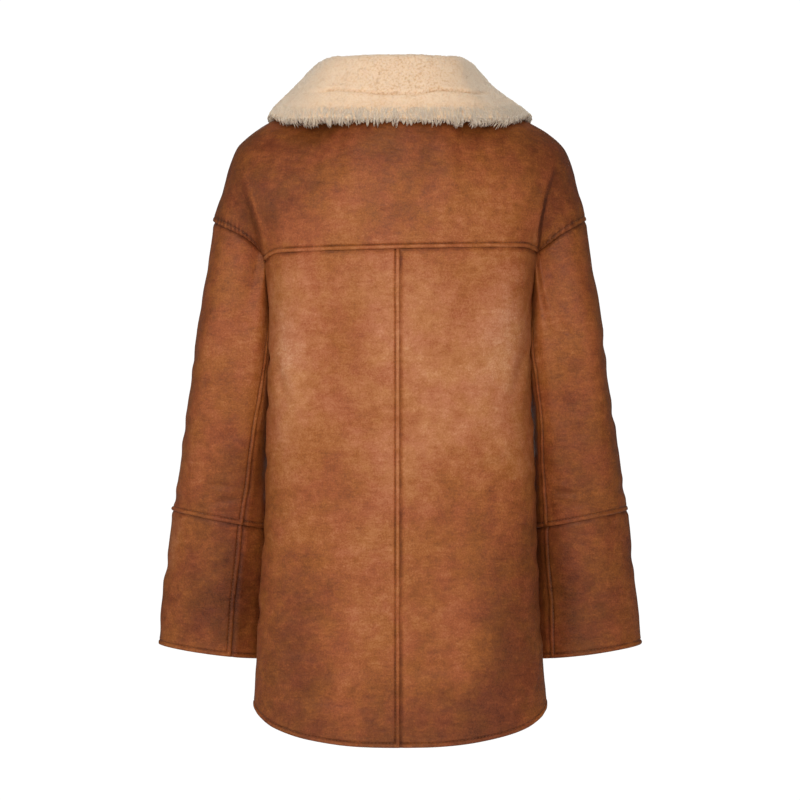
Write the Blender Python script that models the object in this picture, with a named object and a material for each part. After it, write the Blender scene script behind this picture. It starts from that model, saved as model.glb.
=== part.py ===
"""A hip-length leather jacket with a shearling collar, filled out as if worn, made of solid panels."""

import bpy
import numpy as np

# Driving sizes, in millimetres. X is to the wearer's left, Y to the back, Z up, and zero is the base of the neck.
WALL = 3.0
SEAM_GAP = 0.3
INNER_EXTRA_GAP = 1.0
LAP_WIDTH = 6.0
LAP_SLOPE = 1.8
LAP_RISE = 1.3
FRONT_LAP = 26.0
UNDERLAP_DROP = 4.2
BUTTON_RADIUS = 13.0
BUTTON_THICKNESS = 5.0
BUTTON_HEIGHTS = (-190.0, -315.0, -440.0, -565.0)

UNDERARM_Z = -236.0
YOKE_SEAM_Z = -176.5
YOKE_SEAM_TILT = -0.025
YOKE_SEAM_TURN = 140.0
YOKE_SEAM_END_DROP = {"left": 6.0, "right": 4.0}
SHOULDER_Y = -5.0

# Angles round the body start at the centre back and reach 180 degrees at the centre front.
YOKE_END_ANGLE = np.radians(92.0)
SIDE_SEAM_ANGLE = np.radians(112.0)

# How much of the lower back's and the fronts' height lies above the underarm.
UPPER_SHARE = 0.11
FRONT_UPPER_SHARE = 0.3

# The body, by height: half width, how far back, how far forward, where it is widest, and two fullnesses.
BODY_Z = (-780.0, -722.0, -632.0, -517.0, -402.0, -270.0, -236.0, -176.0, -120.0)
BODY_SIZES = (
    # half_width, back, front, widest_y, back_fullness, front_fullness
    (178.0, 128.0, 144.0, 44.0, 0.10, 0.06),
    (175.5, 128.0, 144.0, 45.0, 0.10, 0.05),
    (170.0, 127.0, 143.0, 46.0, 0.11, 0.04),
    (165.0, 126.0, 142.0, 47.0, 0.12, 0.03),
    (160.5, 126.0, 141.0, 48.0, 0.13, 0.02),
    (157.5, 127.0, 141.0, 49.0, 0.14, 0.02),
    (158.5, 127.0, 140.0, 50.0, 0.14, 0.03),
    (163.0, 126.0, 136.0, 51.0, 0.14, 0.08),
    (168.0, 122.0, 128.0, 51.0, 0.14, 0.10),
)

# The hem's height, by the angle round the body.
HEM_ANGLE = np.radians((-20.0, 0.0, 20.0, 32.0, 46.0, 58.0, 70.0, 82.0, 92.0, 112.0, 140.0, 180.0, 200.0))
HEM_Z = (-759.5, -761.5, -759.5, -755.0, -748.0, -740.5, -731.5, -723.0, -718.0, -713.0, -721.0, -727.0, -726.0)

# The back of the neckline, by place across the yoke, then the ridge from the neck to the dropped shoulder seam.
NECK_PLACE = (-0.11, 0.0, 0.11, 0.21, 0.31)
NECK_BACK = (
    # x, y, z
    (-38.0, 66.0, 5.0),
    (0.0, 74.0, 4.0),
    (38.0, 66.0, 5.0),
    (64.0, 38.0, 8.0),
    (77.0, -4.0, 12.0),
)
RIDGE_PLACE = (0.0, 0.15, 0.29, 0.39, 0.455, 0.515, 0.565, 0.615, 0.665, 0.715, 0.775, 0.835, 0.89, 0.94, 1.0)
RIDGE = (
    # x, z
    (77.0, 12.0),
    (110.0, 3.5),
    (140.0, -6.5),
    (161.0, -16.0),
    (174.0, -24.0),
    (184.0, -31.0),
    (192.5, -38.0),
    (199.0, -45.0),
    (203.5, -53.5),
    (207.0, -63.0),
    (210.5, -75.0),
    (213.5, -87.0),
    (217.0, -100.0),
    (221.5, -114.5),
    (227.0, -135.0),
)
NECK_CORNER = 0.31
FRONT_NECK_PLACE = (-0.2, -0.12, 0.0, 0.12, 0.2, 0.29, 0.38)
NECK_FRONT = (
    # x, y, z
    (-52.0, -98.0, -44.0),
    (-30.0, -119.0, -71.0),
    (0.0, -123.0, -80.0),
    (30.0, -119.0, -71.0),
    (52.0, -98.0, -44.0),
    (68.0, -60.0, -12.0),
    (77.0, -4.0, 12.0),
)
FRONT_NECK_CORNER = 0.38

# How strongly the yoke and the fronts start off backwards and forwards from their top edge, by place across.
YOKE_START_PLACE = (0.0, 0.11, 0.21, 0.31, 0.45, 0.6, 0.8, 1.0)
YOKE_START = (
    # y, z, and how strongly it arrives at the bottom
    (105.0, -30.0, 150.0),
    (125.0, -32.0, 150.0),
    (224.0, -45.0, 155.0),
    (330.0, -60.0, 160.0),
    (318.0, -58.0, 155.0),
    (305.0, -50.0, 145.0),
    (292.0, -30.0, 110.0),
    (275.0, -10.0, 45.0),
)
FRONT_START_PLACE = (-0.2, -0.12, 0.0, 0.12, 0.38, 0.65, 1.0)
FRONT_START = (
    # y, z, and how strongly it arrives at the chest
    (-65.0, -66.0, 100.0),
    (-40.0, -70.0, 95.0),
    (-25.0, -70.0, 90.0),
    (-40.0, -70.0, 95.0),
    (-150.0, -50.0, 130.0),
    (-210.0, -30.0, 110.0),
    (-240.0, -10.0, 60.0),
)

# The fold where the body laps over the back of the arm: its place across by height, and its depth on each side.
FOLD_Z = (-190.0, -176.0, -160.0, -127.0, -102.0, -86.0, -75.0, -55.0)
FOLD_X = (161.0, 162.0, 163.5, 168.5, 174.0, 179.5, 184.0, 192.0)
FOLD_SHARE = (1.0, 1.0, 1.0, 0.85, 0.6, 0.35, 0.12, 0.0)
FOLD_WIDTH = 11.0
FOLD_START = 36.0
FOLD_DEPTH = {"left": 6.0, "right": 12.0}
ARMHOLE_ARRIVAL = {"left": 90.0, "right": 15.0}
ARMHOLE_LEAVING = {"left": -20.0, "right": 5.0}

# The sleeve, by height: centre, half widths, slant of each ring, where the back seam lies on each side,
# and how flat the back is.
SLEEVE_Z = (-305.0, -378.0, -452.0, -500.0, -549.0, -598.0, -663.5)
SLEEVE_SIZES = (
    # centre_x, centre_y, half_width, half_depth, slant, left back seam, right back seam, flatness
    (202.3, -16.0, 48.8, 68.0, 0.21, 146.0, 147.0, 0.40),
    (210.5, -19.0, 50.0, 65.0, 0.20, 138.5, 146.5, 0.36),
    (217.3, -24.0, 54.6, 61.5, 0.20, 130.0, 145.0, 0.18),
    (220.8, -29.0, 58.3, 59.0, 0.19, 121.5, 141.5, 0.06),
    (224.6, -34.0, 61.1, 56.5, 0.16, 118.5, 139.0, 0.0),
    (228.3, -39.0, 63.0, 54.0, 0.13, 116.0, 137.5, 0.0),
    (233.7, -44.0, 64.8, 52.0, 0.135, 115.5, 139.0, 0.0),
)
SLEEVE_CUFF_SEAM = 4.0
SLEEVE_END = 7.0
ARMHOLE_BACK_SEAM = 152.0
ARMHOLE_FRONT_SEAM = 214.0
SLEEVE_FRONT_SEAM = 232.0
ARMHOLE_TURNS = np.radians((120.0, 180.0))

# The collar's middle layer, by place from the centre back to the front end: neck seam, stand, roll, fall, edge.
# The neck seam's own points come from the neckline.
COLLAR_PLACE = (-0.2, 0.0, 0.2, 0.4, 0.52, 0.66, 0.82, 1.0)
COLLAR_SHOULDER = 0.52
COLLAR_FRONT_END = 0.07
COLLAR_LIFT = ((0.0, 0.1, 0.75), (0.8, -0.4, 2.3), (0.0, -1.3, 1.2), (0.0, -3.6, 1.3))
COLLAR_ACROSS = (0.0, 0.26, 0.42, 0.7, 1.0)
COLLAR_POINTS = (
    ((-46.0, 61.0, 12.0), (-48.0, 61.0, 38.0), (-54.0, 70.0, 52.0), (-68.0, 86.0, 18.0), (-76.0, 102.0, -20.0)),
    ((0.0, 74.0, 11.0), (0.0, 73.0, 38.0), (0.0, 82.0, 52.0), (0.0, 96.0, 18.0), (0.0, 109.0, -21.0)),
    ((46.0, 61.0, 12.0), (48.0, 61.0, 38.0), (54.0, 70.0, 52.5), (68.0, 86.0, 18.0), (76.0, 102.0, -20.0)),
    ((72.0, 28.0, 16.0), (76.0, 30.0, 40.0), (86.0, 36.0, 53.0), (109.5, 50.0, 20.5), (132.0, 66.0, -17.0)),
    ((80.0, -8.0, 20.0), (85.0, -8.0, 39.0), (96.0, -8.0, 50.0), (129.0, -2.0, 20.5), (156.0, 4.0, -7.5)),
    ((73.0, -56.0, 4.0), (82.0, -60.0, 20.0), (96.0, -63.0, 28.0), (129.0, -62.0, 4.0), (154.0, -55.0, -24.0)),
    ((52.0, -104.0, -38.0), (60.0, -114.0, -24.0), (74.0, -120.0, -19.0), (108.0, -120.0, -48.0), (136.0, -104.0, -86.0)),
    ((20.0, -130.0, -76.0), (26.0, -141.0, -68.0), (37.0, -149.0, -70.0), (66.0, -153.0, -108.0), (92.0, -142.0, -150.0)),
)
# How much nearer the middle each of those points lies on the wearer's right.
COLLAR_RIGHT_NARROWER = (
    (0.0, 0.0, 0.0, 0.0, 0.0),
    (0.0, 0.0, 0.0, 0.0, 0.0),
    (0.0, 0.0, 2.0, 5.0, 1.0),
    (0.0, 2.0, 10.0, 18.0, 4.0),
    (0.0, 2.0, 10.0, 14.0, 0.5),
    (0.0, 1.0, 6.0, 10.0, 2.0),
    (0.0, 0.0, 1.0, 3.0, 1.0),
    (0.0, 0.0, 0.0, 0.0, 0.0),
)
COLLAR_HALF_ACROSS = (0.0, 0.2, 0.42, 0.8, 0.95, 1.0)
COLLAR_HALF = (3.6, 4.8, 5.6, 6.4, 5.6, 4.2)


def smooth(knots, values, at):
    """The value, at any place along the knots, of a smooth curve through the rows of a table."""
    knots = np.asarray(knots, float)
    values = np.asarray(values, float)
    at = np.clip(np.asarray(at, float), knots[0], knots[-1])
    slope = np.gradient(values, knots, axis=0)
    i = np.clip(np.searchsorted(knots, at, side="right") - 1, 0, len(knots) - 2)
    step = knots[i + 1] - knots[i]
    t = (at - knots[i]) / step
    if values.ndim > 1:
        t = t[..., None]
        step = step[..., None]
    start = (1 + 2 * t) * (1 - t) ** 2 * values[i] + t * (1 - t) ** 2 * step * slope[i]
    end = t**2 * (3 - 2 * t) * values[i + 1] - t**2 * (1 - t) * step * slope[i + 1]
    return start + end


def ease(t):
    """Rises smoothly from 0 to 1 while t does."""
    t = np.clip(t, 0.0, 1.0)
    return t * t * (3 - 2 * t)


def hermite(start, leaving, end, arriving, t):
    """Points of a cubic curve from its ends and their directions."""
    t = t[..., None]
    first = (1 + 2 * t) * (1 - t) ** 2 * start + t * (1 - t) ** 2 * leaving
    return first + t**2 * (3 - 2 * t) * end - t**2 * (1 - t) * arriving


def xyz(x, y, z):
    return np.stack(np.broadcast_arrays(x, y, z), axis=-1).astype(float)


def mirrored(points, side):
    """The points with their x turned over where side is negative."""
    return points * xyz(side, 1.0, 1.0)


def by_side(side, table):
    return np.where(np.asarray(side) > 0, table["left"], table["right"])


def body_ring(angle, z):
    """A point of the body at an angle from the centre back, on the left."""
    size = smooth(BODY_Z, BODY_SIZES, z)
    behind = np.cos(angle) > 0
    full = np.where(behind, size[..., 4], size[..., 5])
    reach = np.where(behind, size[..., 1] - size[..., 3], size[..., 2] + size[..., 3])
    x = size[..., 0] * np.sin(angle) * (1 + full * np.cos(angle) ** 2)
    y = size[..., 3] + reach * np.cos(angle) * (1 + full * np.sin(angle) ** 2)
    return xyz(x, y, z)


def body_down(angle, z):
    """The way down the body's surface."""
    return (body_ring(angle, z - 1.0) - body_ring(angle, z + 1.0)) / 2.0


def body_normal(angle, z):
    across = body_ring(angle + 0.004, z) - body_ring(angle - 0.004, z)
    normal = np.cross(across, body_down(angle, z))
    normal /= np.linalg.norm(normal, axis=-1, keepdims=True)
    outward = np.sum(normal * (body_ring(angle, z) - xyz(0.0, 10.0, z)), axis=-1, keepdims=True)
    return normal * np.sign(outward)


def hem_z(angle):
    return smooth(HEM_ANGLE, HEM_Z, angle)


def yoke_seam_z(angle, side):
    across = np.sin(angle) * 162.0
    end_drop = by_side(side, YOKE_SEAM_END_DROP) * ease((across - YOKE_SEAM_TURN) / 22.0)
    return YOKE_SEAM_Z + YOKE_SEAM_TILT * side * across - end_drop


def ridge_point(place):
    """A point of the shoulder line, from the neck to the dropped shoulder seam."""
    found = smooth(RIDGE_PLACE, RIDGE, place)
    return xyz(found[..., 0], SHOULDER_Y, found[..., 1])


def yoke_surface(u, v):
    """The yoke, from its right armhole at u = -1 to its left one at 1, and from its top to its bottom seam."""
    side = np.where(u < 0, -1.0, 1.0)
    a = np.abs(u)
    neck = smooth(NECK_PLACE, NECK_BACK, np.minimum(a, NECK_CORNER))
    ridge = ridge_point(np.clip((a - NECK_CORNER) / (1 - NECK_CORNER), 0.0, 1.0))
    top = np.where((a < NECK_CORNER)[..., None], neck, ridge)
    angle = a * YOKE_END_ANGLE
    z = yoke_seam_z(angle, side)
    bottom = body_ring(angle, z)
    start = smooth(YOKE_START_PLACE, YOKE_START, a)
    near_arm = ease((a - 0.6) / 0.4)
    arrival = start[..., 2] + (by_side(side, ARMHOLE_ARRIVAL) - start[..., 2]) * near_arm
    leaving = xyz(0.0, start[..., 0], start[..., 1] + by_side(side, ARMHOLE_LEAVING) * near_arm)
    found = hermite(top, leaving, bottom, body_down(angle, z) * arrival[..., None], v)
    return mirrored(folded(found, side), side)


def folded(points, side):
    """The points with those beyond the armhole fold set forward."""
    z = points[..., 2]
    fold_x = smooth(FOLD_Z, FOLD_X, z)
    share = smooth(FOLD_Z, FOLD_SHARE, z)
    depth = by_side(side, FOLD_DEPTH) * share * ease(points[..., 1] / FOLD_START)
    return points - xyz(0.0, depth * ease((points[..., 0] - fold_x) / FOLD_WIDTH), 0.0)


def back_place(u, v):
    """The angle and height of a point of the lower back, from the yoke seam at v = 0 to the hem at 1."""
    side = np.where(u < 0, -1.0, 1.0)
    a = np.abs(u)
    r = np.clip(v / UPPER_SHARE, 0.0, 1.0)
    q = np.clip((v - UPPER_SHARE) / (1 - UPPER_SHARE), 0.0, 1.0)
    near_arm = a**3
    drop = r * (1 - near_arm) + np.sin(np.pi / 2 * r) * near_arm
    end = YOKE_END_ANGLE + (SIDE_SEAM_ANGLE - YOKE_END_ANGLE) * (1 - np.cos(np.pi / 2 * r))
    angle = a * end
    top = yoke_seam_z(angle, side)
    z = top + (UNDERARM_Z - top) * drop
    return angle, z + (hem_z(angle) - UNDERARM_Z) * q, side


def back_surface(u, v):
    angle, z, side = back_place(u, v)
    return mirrored(body_ring(angle, z), side)


def back_normal(u, v):
    angle, z, side = back_place(u, v)
    return mirrored(body_normal(angle, z), side)


def front_surface(side, a, v):
    """One front, from the centre at a = 0 to the side at 1. It runs past the centre where a is negative."""
    across = np.sign(a) * np.minimum(np.abs(a), FRONT_NECK_CORNER)
    neck = smooth(FRONT_NECK_PLACE, NECK_FRONT, across)
    ridge = ridge_point(np.clip((a - FRONT_NECK_CORNER) / (1 - FRONT_NECK_CORNER), 0.0, 1.0))
    top = np.where((a < FRONT_NECK_CORNER)[..., None], neck, ridge)
    angle = np.pi - a * (np.pi - SIDE_SEAM_ANGLE)
    chest = body_ring(angle, np.full_like(angle, UNDERARM_Z))
    start = smooth(FRONT_START_PLACE, FRONT_START, a)
    at_side = np.clip(a, 0.0, 1.0)[..., None] ** 5
    backwards = body_ring(angle - 0.01, np.full_like(angle, UNDERARM_Z)) - chest
    backwards /= np.linalg.norm(backwards, axis=-1, keepdims=True)
    down = body_down(angle, np.full_like(angle, UNDERARM_Z))
    arriving = down * start[..., 2:3] * (1 - at_side) + backwards * 150.0 * at_side
    t = np.clip(v / FRONT_UPPER_SHARE, 0.0, 1.0)
    upper = hermite(top, xyz(0.0, start[..., 0], start[..., 1]), chest, arriving, t)
    q = np.clip((v - FRONT_UPPER_SHARE) / (1 - FRONT_UPPER_SHARE), 0.0, 1.0)
    lower = body_ring(angle, UNDERARM_Z + (hem_z(angle) - UNDERARM_Z) * q)
    return mirrored(np.where((v < FRONT_UPPER_SHARE)[..., None], upper, lower), side)


def armhole(side, turn):
    """A point of the armhole, by turn: 0 at the shoulder, a quarter at the back, half under the arm."""
    turn = np.mod(turn, 2 * np.pi)
    over = np.clip(turn / ARMHOLE_TURNS[0], 0.0, 1.0)
    under = np.clip((turn - ARMHOLE_TURNS[0]) / (ARMHOLE_TURNS[1] - ARMHOLE_TURNS[0]), 0.0, 1.0)
    ahead = np.clip(1.0 - (turn - np.pi) / np.pi, 0.0, 1.0)
    one = np.full_like(turn, 1.0)
    top = yoke_surface(one * side, over)
    low = back_surface(one * side, under * UPPER_SHARE)
    front = front_surface(side, one, ahead * FRONT_UPPER_SHARE)
    found = np.where((turn < ARMHOLE_TURNS[0])[..., None], top, low)
    found = np.where((turn > np.pi)[..., None], front, found)
    clear = ease((turn - np.radians(85.0)) / np.radians(45.0)) * ease((np.radians(275.0) - turn) / np.radians(45.0))
    return found * xyz(side, 1.0, 1.0) + xyz(1.1 * clear, -0.4 * clear, -1.3 - 0.7 * (side < 0))


def sleeve_ring(turn, z):
    size = smooth([-z for z in SLEEVE_Z], SLEEVE_SIZES, -z)
    x = size[..., 0] + size[..., 2] * np.cos(turn)
    ahead = np.sin(turn)
    back = ahead * (1.0 + size[..., 7] * (1.0 - ahead**2))
    y = size[..., 1] + size[..., 3] * np.where(ahead > 0, back, ahead)
    return xyz(x, y, z + size[..., 4] * size[..., 2] * np.cos(turn))


def sleeve_surface(side, turn, level):
    """A point of a sleeve: level 0 is the armhole, 1 the first ring of the table, and 7 the end of the sleeve."""
    start = armhole(side, turn)
    first = np.full_like(turn, SLEEVE_Z[0])
    end = sleeve_ring(turn, first)
    length = np.linalg.norm(end - start, axis=-1, keepdims=True)
    leaving = xyz(0.06 + 0.06 * np.cos(turn), 0.06 * np.sin(turn), -1.0) * length
    arriving = (sleeve_ring(turn, first - 2.0) - sleeve_ring(turn, first)) / 2.0 * length
    upper = hermite(start, leaving, end, arriving, np.clip(level, 0.0, 1.0))
    z = np.interp(level, np.arange(1, len(SLEEVE_Z) + 1), SLEEVE_Z)
    lower = sleeve_ring(turn, z)
    return mirrored(np.where((level < 1.0)[..., None], upper, lower), side)


def back_seam_turn(side, level):
    column = 5 if side > 0 else 6
    turns = [ARMHOLE_BACK_SEAM] + [row[column] for row in SLEEVE_SIZES]
    return np.radians(smooth(range(len(turns)), turns, level))


def front_seam_turn(level):
    share = ease(level)
    return np.radians(ARMHOLE_FRONT_SEAM + (SLEEVE_FRONT_SEAM - ARMHOLE_FRONT_SEAM) * share)


def sleeve_panel(side, under, first, last):
    """The surface of one sleeve panel over u and v from 0 to 1."""

    def surface(u, v):
        level = first + (last - first) * v
        back = back_seam_turn(side, level)
        front = front_seam_turn(level)
        if under:
            turn = back + (front - back) * u
        else:
            turn = front - 2 * np.pi + (back - front + 2 * np.pi) * u
        return sleeve_surface(side, turn, level)

    return surface


def slopes(surface, u, v, low):
    """The surface's own directions along u and v."""
    step = 0.003
    u0, u1 = np.clip(u - step, low, 1.0), np.clip(u + step, low, 1.0)
    v0, v1 = np.clip(v - step, 0.0, 1.0), np.clip(v + step, 0.0, 1.0)
    along_u = (surface(u1, v) - surface(u0, v)) / (u1 - u0)[..., None]
    along_v = (surface(u, v1) - surface(u, v0)) / (v1 - v0)[..., None]
    return along_u, along_v


def edge_lines(track, starts, way, distances):
    """The places at these distances in millimetres from an edge. The track runs in from it, half of the way across."""
    steps = np.linspace(0.0, 0.5, len(track))
    apart = np.linalg.norm(np.diff(track, axis=0), axis=-1)
    length = np.concatenate([np.zeros((1, track.shape[1])), np.cumsum(apart, axis=0)])
    found = [[np.interp(d, length[:, i], steps) for i in range(track.shape[1])] for d in distances]
    return starts + way * np.array(found)


def placed(surface, u_inside, v_inside, rims, extra, low):
    """The places of a panel's points: lines at set distances from its edges, and shares of the way between them."""
    edge = SEAM_GAP / 2 + extra
    rim = [edge, LAP_WIDTH, LAP_WIDTH + LAP_SLOPE]
    steps = np.linspace(0.0, 0.5, 61)[:, None]
    vs = np.concatenate([[0.0] * (3 if "top" in rims else 1), v_inside, [1.0] * (3 if "bottom" in rims else 1)])
    vs = np.clip(vs, 0.02, 0.98)[None, :] + 0 * steps
    first = edge_lines(surface(low + steps + 0 * vs, vs), low, 1, rim if "left" in rims else [edge])
    last = edge_lines(surface(1.0 - steps + 0 * vs, vs), 1.0, -1, rim[::-1] if "right" in rims else [edge])
    inside = np.array(u_inside)[:, None]
    u = np.concatenate([first, first[-1] + inside * (last[0] - first[-1]), last])
    us = u[:, u.shape[1] // 2][None, :] + 0 * steps
    top = edge_lines(surface(us, steps + 0 * us), 0.0, 1, rim if "top" in rims else [edge])
    end = edge_lines(surface(us, 1.0 - steps + 0 * us), 1.0, -1, rim[::-1] if "bottom" in rims else [edge])
    inside = np.array(v_inside)[:, None]
    return u, np.concatenate([top, top[-1] + inside * (end[0] - top[-1]), end]).T


def panel(name, material, surface, u_inside, v_inside, centre, normal=None, rims="", drop=None, low=0.0):
    """A wall of even thickness on a surface, with a raised rim along the edges named in rims."""
    layers = []
    for extra, thickness in ((0.0, 0.0), (INNER_EXTRA_GAP, WALL)):
        u, v = placed(surface, u_inside, v_inside, rims, extra, low)
        if normal is None:
            along_u, along_v = slopes(surface, u, v, low)
            n = np.cross(along_u, along_v)
            n /= np.linalg.norm(n, axis=-1, keepdims=True)
        else:
            n = normal(u, v)
        points = surface(u, v)
        middle = u.shape[0] // 2, u.shape[1] // 2
        if np.dot(n[middle], points[middle] - centre) < 0:
            n = -n
        height = np.full(u.shape, -thickness)
        if drop is not None:
            height -= drop(u)
        if thickness == 0:
            flat = 1.0 if drop is None else 1.0 - drop(u) / UNDERLAP_DROP
            height += raised_rims(u.shape, rims) * flat
        layers.append(points + n * height[..., None])
    return solid_sheet(name, layers[0], layers[1], material)


def raised_rims(shape, rims):
    raised = np.zeros(shape)
    if "left" in rims:
        raised[:2, :] = LAP_RISE
    if "right" in rims:
        raised[-2:, :] = LAP_RISE
    if "top" in rims:
        raised[:, :2] = LAP_RISE
    if "bottom" in rims:
        raised[:, -2:] = LAP_RISE
    return raised


def solid_sheet(name, outer, inner, material):
    """A closed mesh between two grids of points."""
    rows, columns = outer.shape[:2]
    points = np.concatenate([outer.reshape(-1, 3), inner.reshape(-1, 3)])
    under = rows * columns
    faces = []
    for i in range(rows - 1):
        for j in range(columns - 1):
            a, b = i * columns + j, (i + 1) * columns + j
            faces.append((a, b, b + 1, a + 1))
            faces.append((under + a, under + a + 1, under + b + 1, under + b))
    border = [(i, 0) for i in range(rows)] + [(rows - 1, j) for j in range(1, columns)]
    border += [(i, columns - 1) for i in range(rows - 2, -1, -1)] + [(0, j) for j in range(columns - 2, 0, -1)]
    ring = [i * columns + j for i, j in border]
    for a, b in zip(ring, ring[1:] + ring[:1]):
        faces.append((b, a, under + a, under + b))
    return add_mesh(name, points, faces, material)


def add_mesh(name, points, faces, material):
    corners = [points[list(face)] for face in faces]
    volume = sum(np.dot(c[0], np.cross(c[i], c[i + 1])) for c in corners for i in range(1, len(c) - 1))
    if volume < 0:
        faces = [face[::-1] for face in faces]
    mesh = bpy.data.meshes.new(name)
    mesh.from_pydata((points * 0.001).tolist(), [], faces)
    mesh.materials.append(material)
    obj = bpy.data.objects.new(name, mesh)
    bpy.context.scene.collection.objects.link(obj)
    return obj


def plain_material(name, colour, roughness, metallic=0.0):
    material = bpy.data.materials.new(name)
    material.use_nodes = True
    shader = material.node_tree.nodes["Principled BSDF"]
    shader.inputs["Base Color"].default_value = (*colour, 1.0)
    shader.inputs["Roughness"].default_value = roughness
    shader.inputs["Metallic"].default_value = metallic
    return material


def neck_seam(place):
    """Where the collar's stand meets the neckline, a little above the panels."""
    back = smooth(NECK_PLACE, NECK_BACK, place / COLLAR_SHOULDER * NECK_CORNER)
    ahead = (place - COLLAR_SHOULDER) / (1 - COLLAR_SHOULDER) * (FRONT_NECK_CORNER - COLLAR_FRONT_END)
    front = smooth(FRONT_NECK_PLACE, NECK_FRONT, FRONT_NECK_CORNER - np.maximum(ahead, 0.0))
    lift = smooth((0.0, COLLAR_SHOULDER, 0.82, 1.0), COLLAR_LIFT, place)
    return np.where((place < COLLAR_SHOULDER)[:, None], back, front) + lift


def collar_grid(places, across):
    """The collar's middle layer, as one row of points for each place round the neck."""
    side = np.where(places < 0, -1.0, 1.0)
    table = np.array(COLLAR_POINTS).reshape(len(COLLAR_PLACE), -1)
    rows = smooth(COLLAR_PLACE, table, np.abs(places)).reshape(len(places), len(COLLAR_ACROSS), 3)
    narrower = smooth(COLLAR_PLACE, COLLAR_RIGHT_NARROWER, np.abs(places)) * (side < 0)[:, None]
    rows[:, :, 0] -= narrower
    rows[:, 0] = neck_seam(np.abs(places))
    grid = np.array([smooth(COLLAR_ACROSS, row, across) for row in rows])
    return mirrored(grid, side[:, None])


def make_collar(material):
    places = np.concatenate([-np.linspace(1.0, 0.0, 19), np.linspace(0.0, 1.0, 19)[1:]])
    across = np.array([0.0, 0.13, 0.25, 0.33, 0.39, 0.44, 0.5, 0.58, 0.68, 0.79, 0.89, 0.96, 1.0])
    grid = collar_grid(places, across)
    fine = collar_grid(places, np.clip(across[:, None] + [-0.01, 0.01], 0.0, 1.0).ravel()).reshape(
        len(places), len(across), 2, 3
    )
    along = np.gradient(grid, axis=0)
    down = fine[:, :, 1] - fine[:, :, 0]
    normal = np.cross(along, down)
    normal /= np.linalg.norm(normal, axis=-1, keepdims=True)
    half = smooth(COLLAR_HALF_ACROSS, COLLAR_HALF, across)[None, :, None]
    outer = grid - normal * half
    inner = grid + normal * half
    down /= np.linalg.norm(down, axis=-1, keepdims=True)
    tip = grid[:, -1] + down[:, -1] * 3.0
    section = np.concatenate([outer, tip[:, None], inner[:, ::-1]], axis=1)
    rows, columns = section.shape[:2]
    points = section.reshape(-1, 3)
    faces = []
    for i in range(rows - 1):
        for j in range(columns):
            k = (j + 1) % columns
            faces.append((i * columns + j, (i + 1) * columns + j, (i + 1) * columns + k, i * columns + k))
    last = (rows - 1) * columns
    for j in range(len(across) - 1):
        k = columns - 1 - j
        faces.append((j, j + 1, k - 1, k))
        faces.append((last + j + 1, last + j, last + k, last + k - 1))
    faces.append((len(across) - 1, len(across), len(across) + 1))
    faces.append((last + len(across), last + len(across) - 1, last + len(across) + 1))
    return add_mesh("collar", points, faces, material)


def make_button(name, z, material):
    """A plain button with a rolled rim and a dished middle, flat against the right front."""
    rows = np.linspace(0.0, 1.0, 400)
    track = front_surface(-1, 0 * rows, rows)
    place = np.interp(-z, -track[:, 2], rows) + np.array([-0.01, 0.0, 0.01])
    above, centre, below = front_surface(-1, 0 * place, place)
    up = (above - below) / np.linalg.norm(above - below)
    across = np.array([1.0, 0.0, 0.0])
    out = np.cross(across, up)
    profile = (
        # radius, how far out
        (BUTTON_RADIUS - 1.2, 0.0),
        (BUTTON_RADIUS, 1.4),
        (BUTTON_RADIUS, 3.4),
        (BUTTON_RADIUS - 1.6, BUTTON_THICKNESS),
        (BUTTON_RADIUS - 4.2, BUTTON_THICKNESS - 0.3),
        (BUTTON_RADIUS - 5.6, BUTTON_THICKNESS - 1.6),
    )
    sides = 20
    turns = (np.arange(sides) * 2 * np.pi / sides)[:, None]
    points = []
    for radius, far in profile:
        points.append(centre + out * (0.4 + far) + radius * (np.cos(turns) * across + np.sin(turns) * up))
    points = np.concatenate(points)
    faces = [tuple(range(sides))[::-1], tuple(range(5 * sides, 6 * sides))]
    for ring in range(len(profile) - 1):
        for i in range(sides):
            j = (i + 1) % sides
            a = ring * sides
            faces.append((a + i, a + j, a + sides + j, a + sides + i))
    return add_mesh(name, points, faces, material)


def shares(count, start=0.0, end=1.0):
    """Even shares strictly between two ends."""
    return [start + (end - start) * (i + 1) / (count + 1) for i in range(count)]


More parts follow.
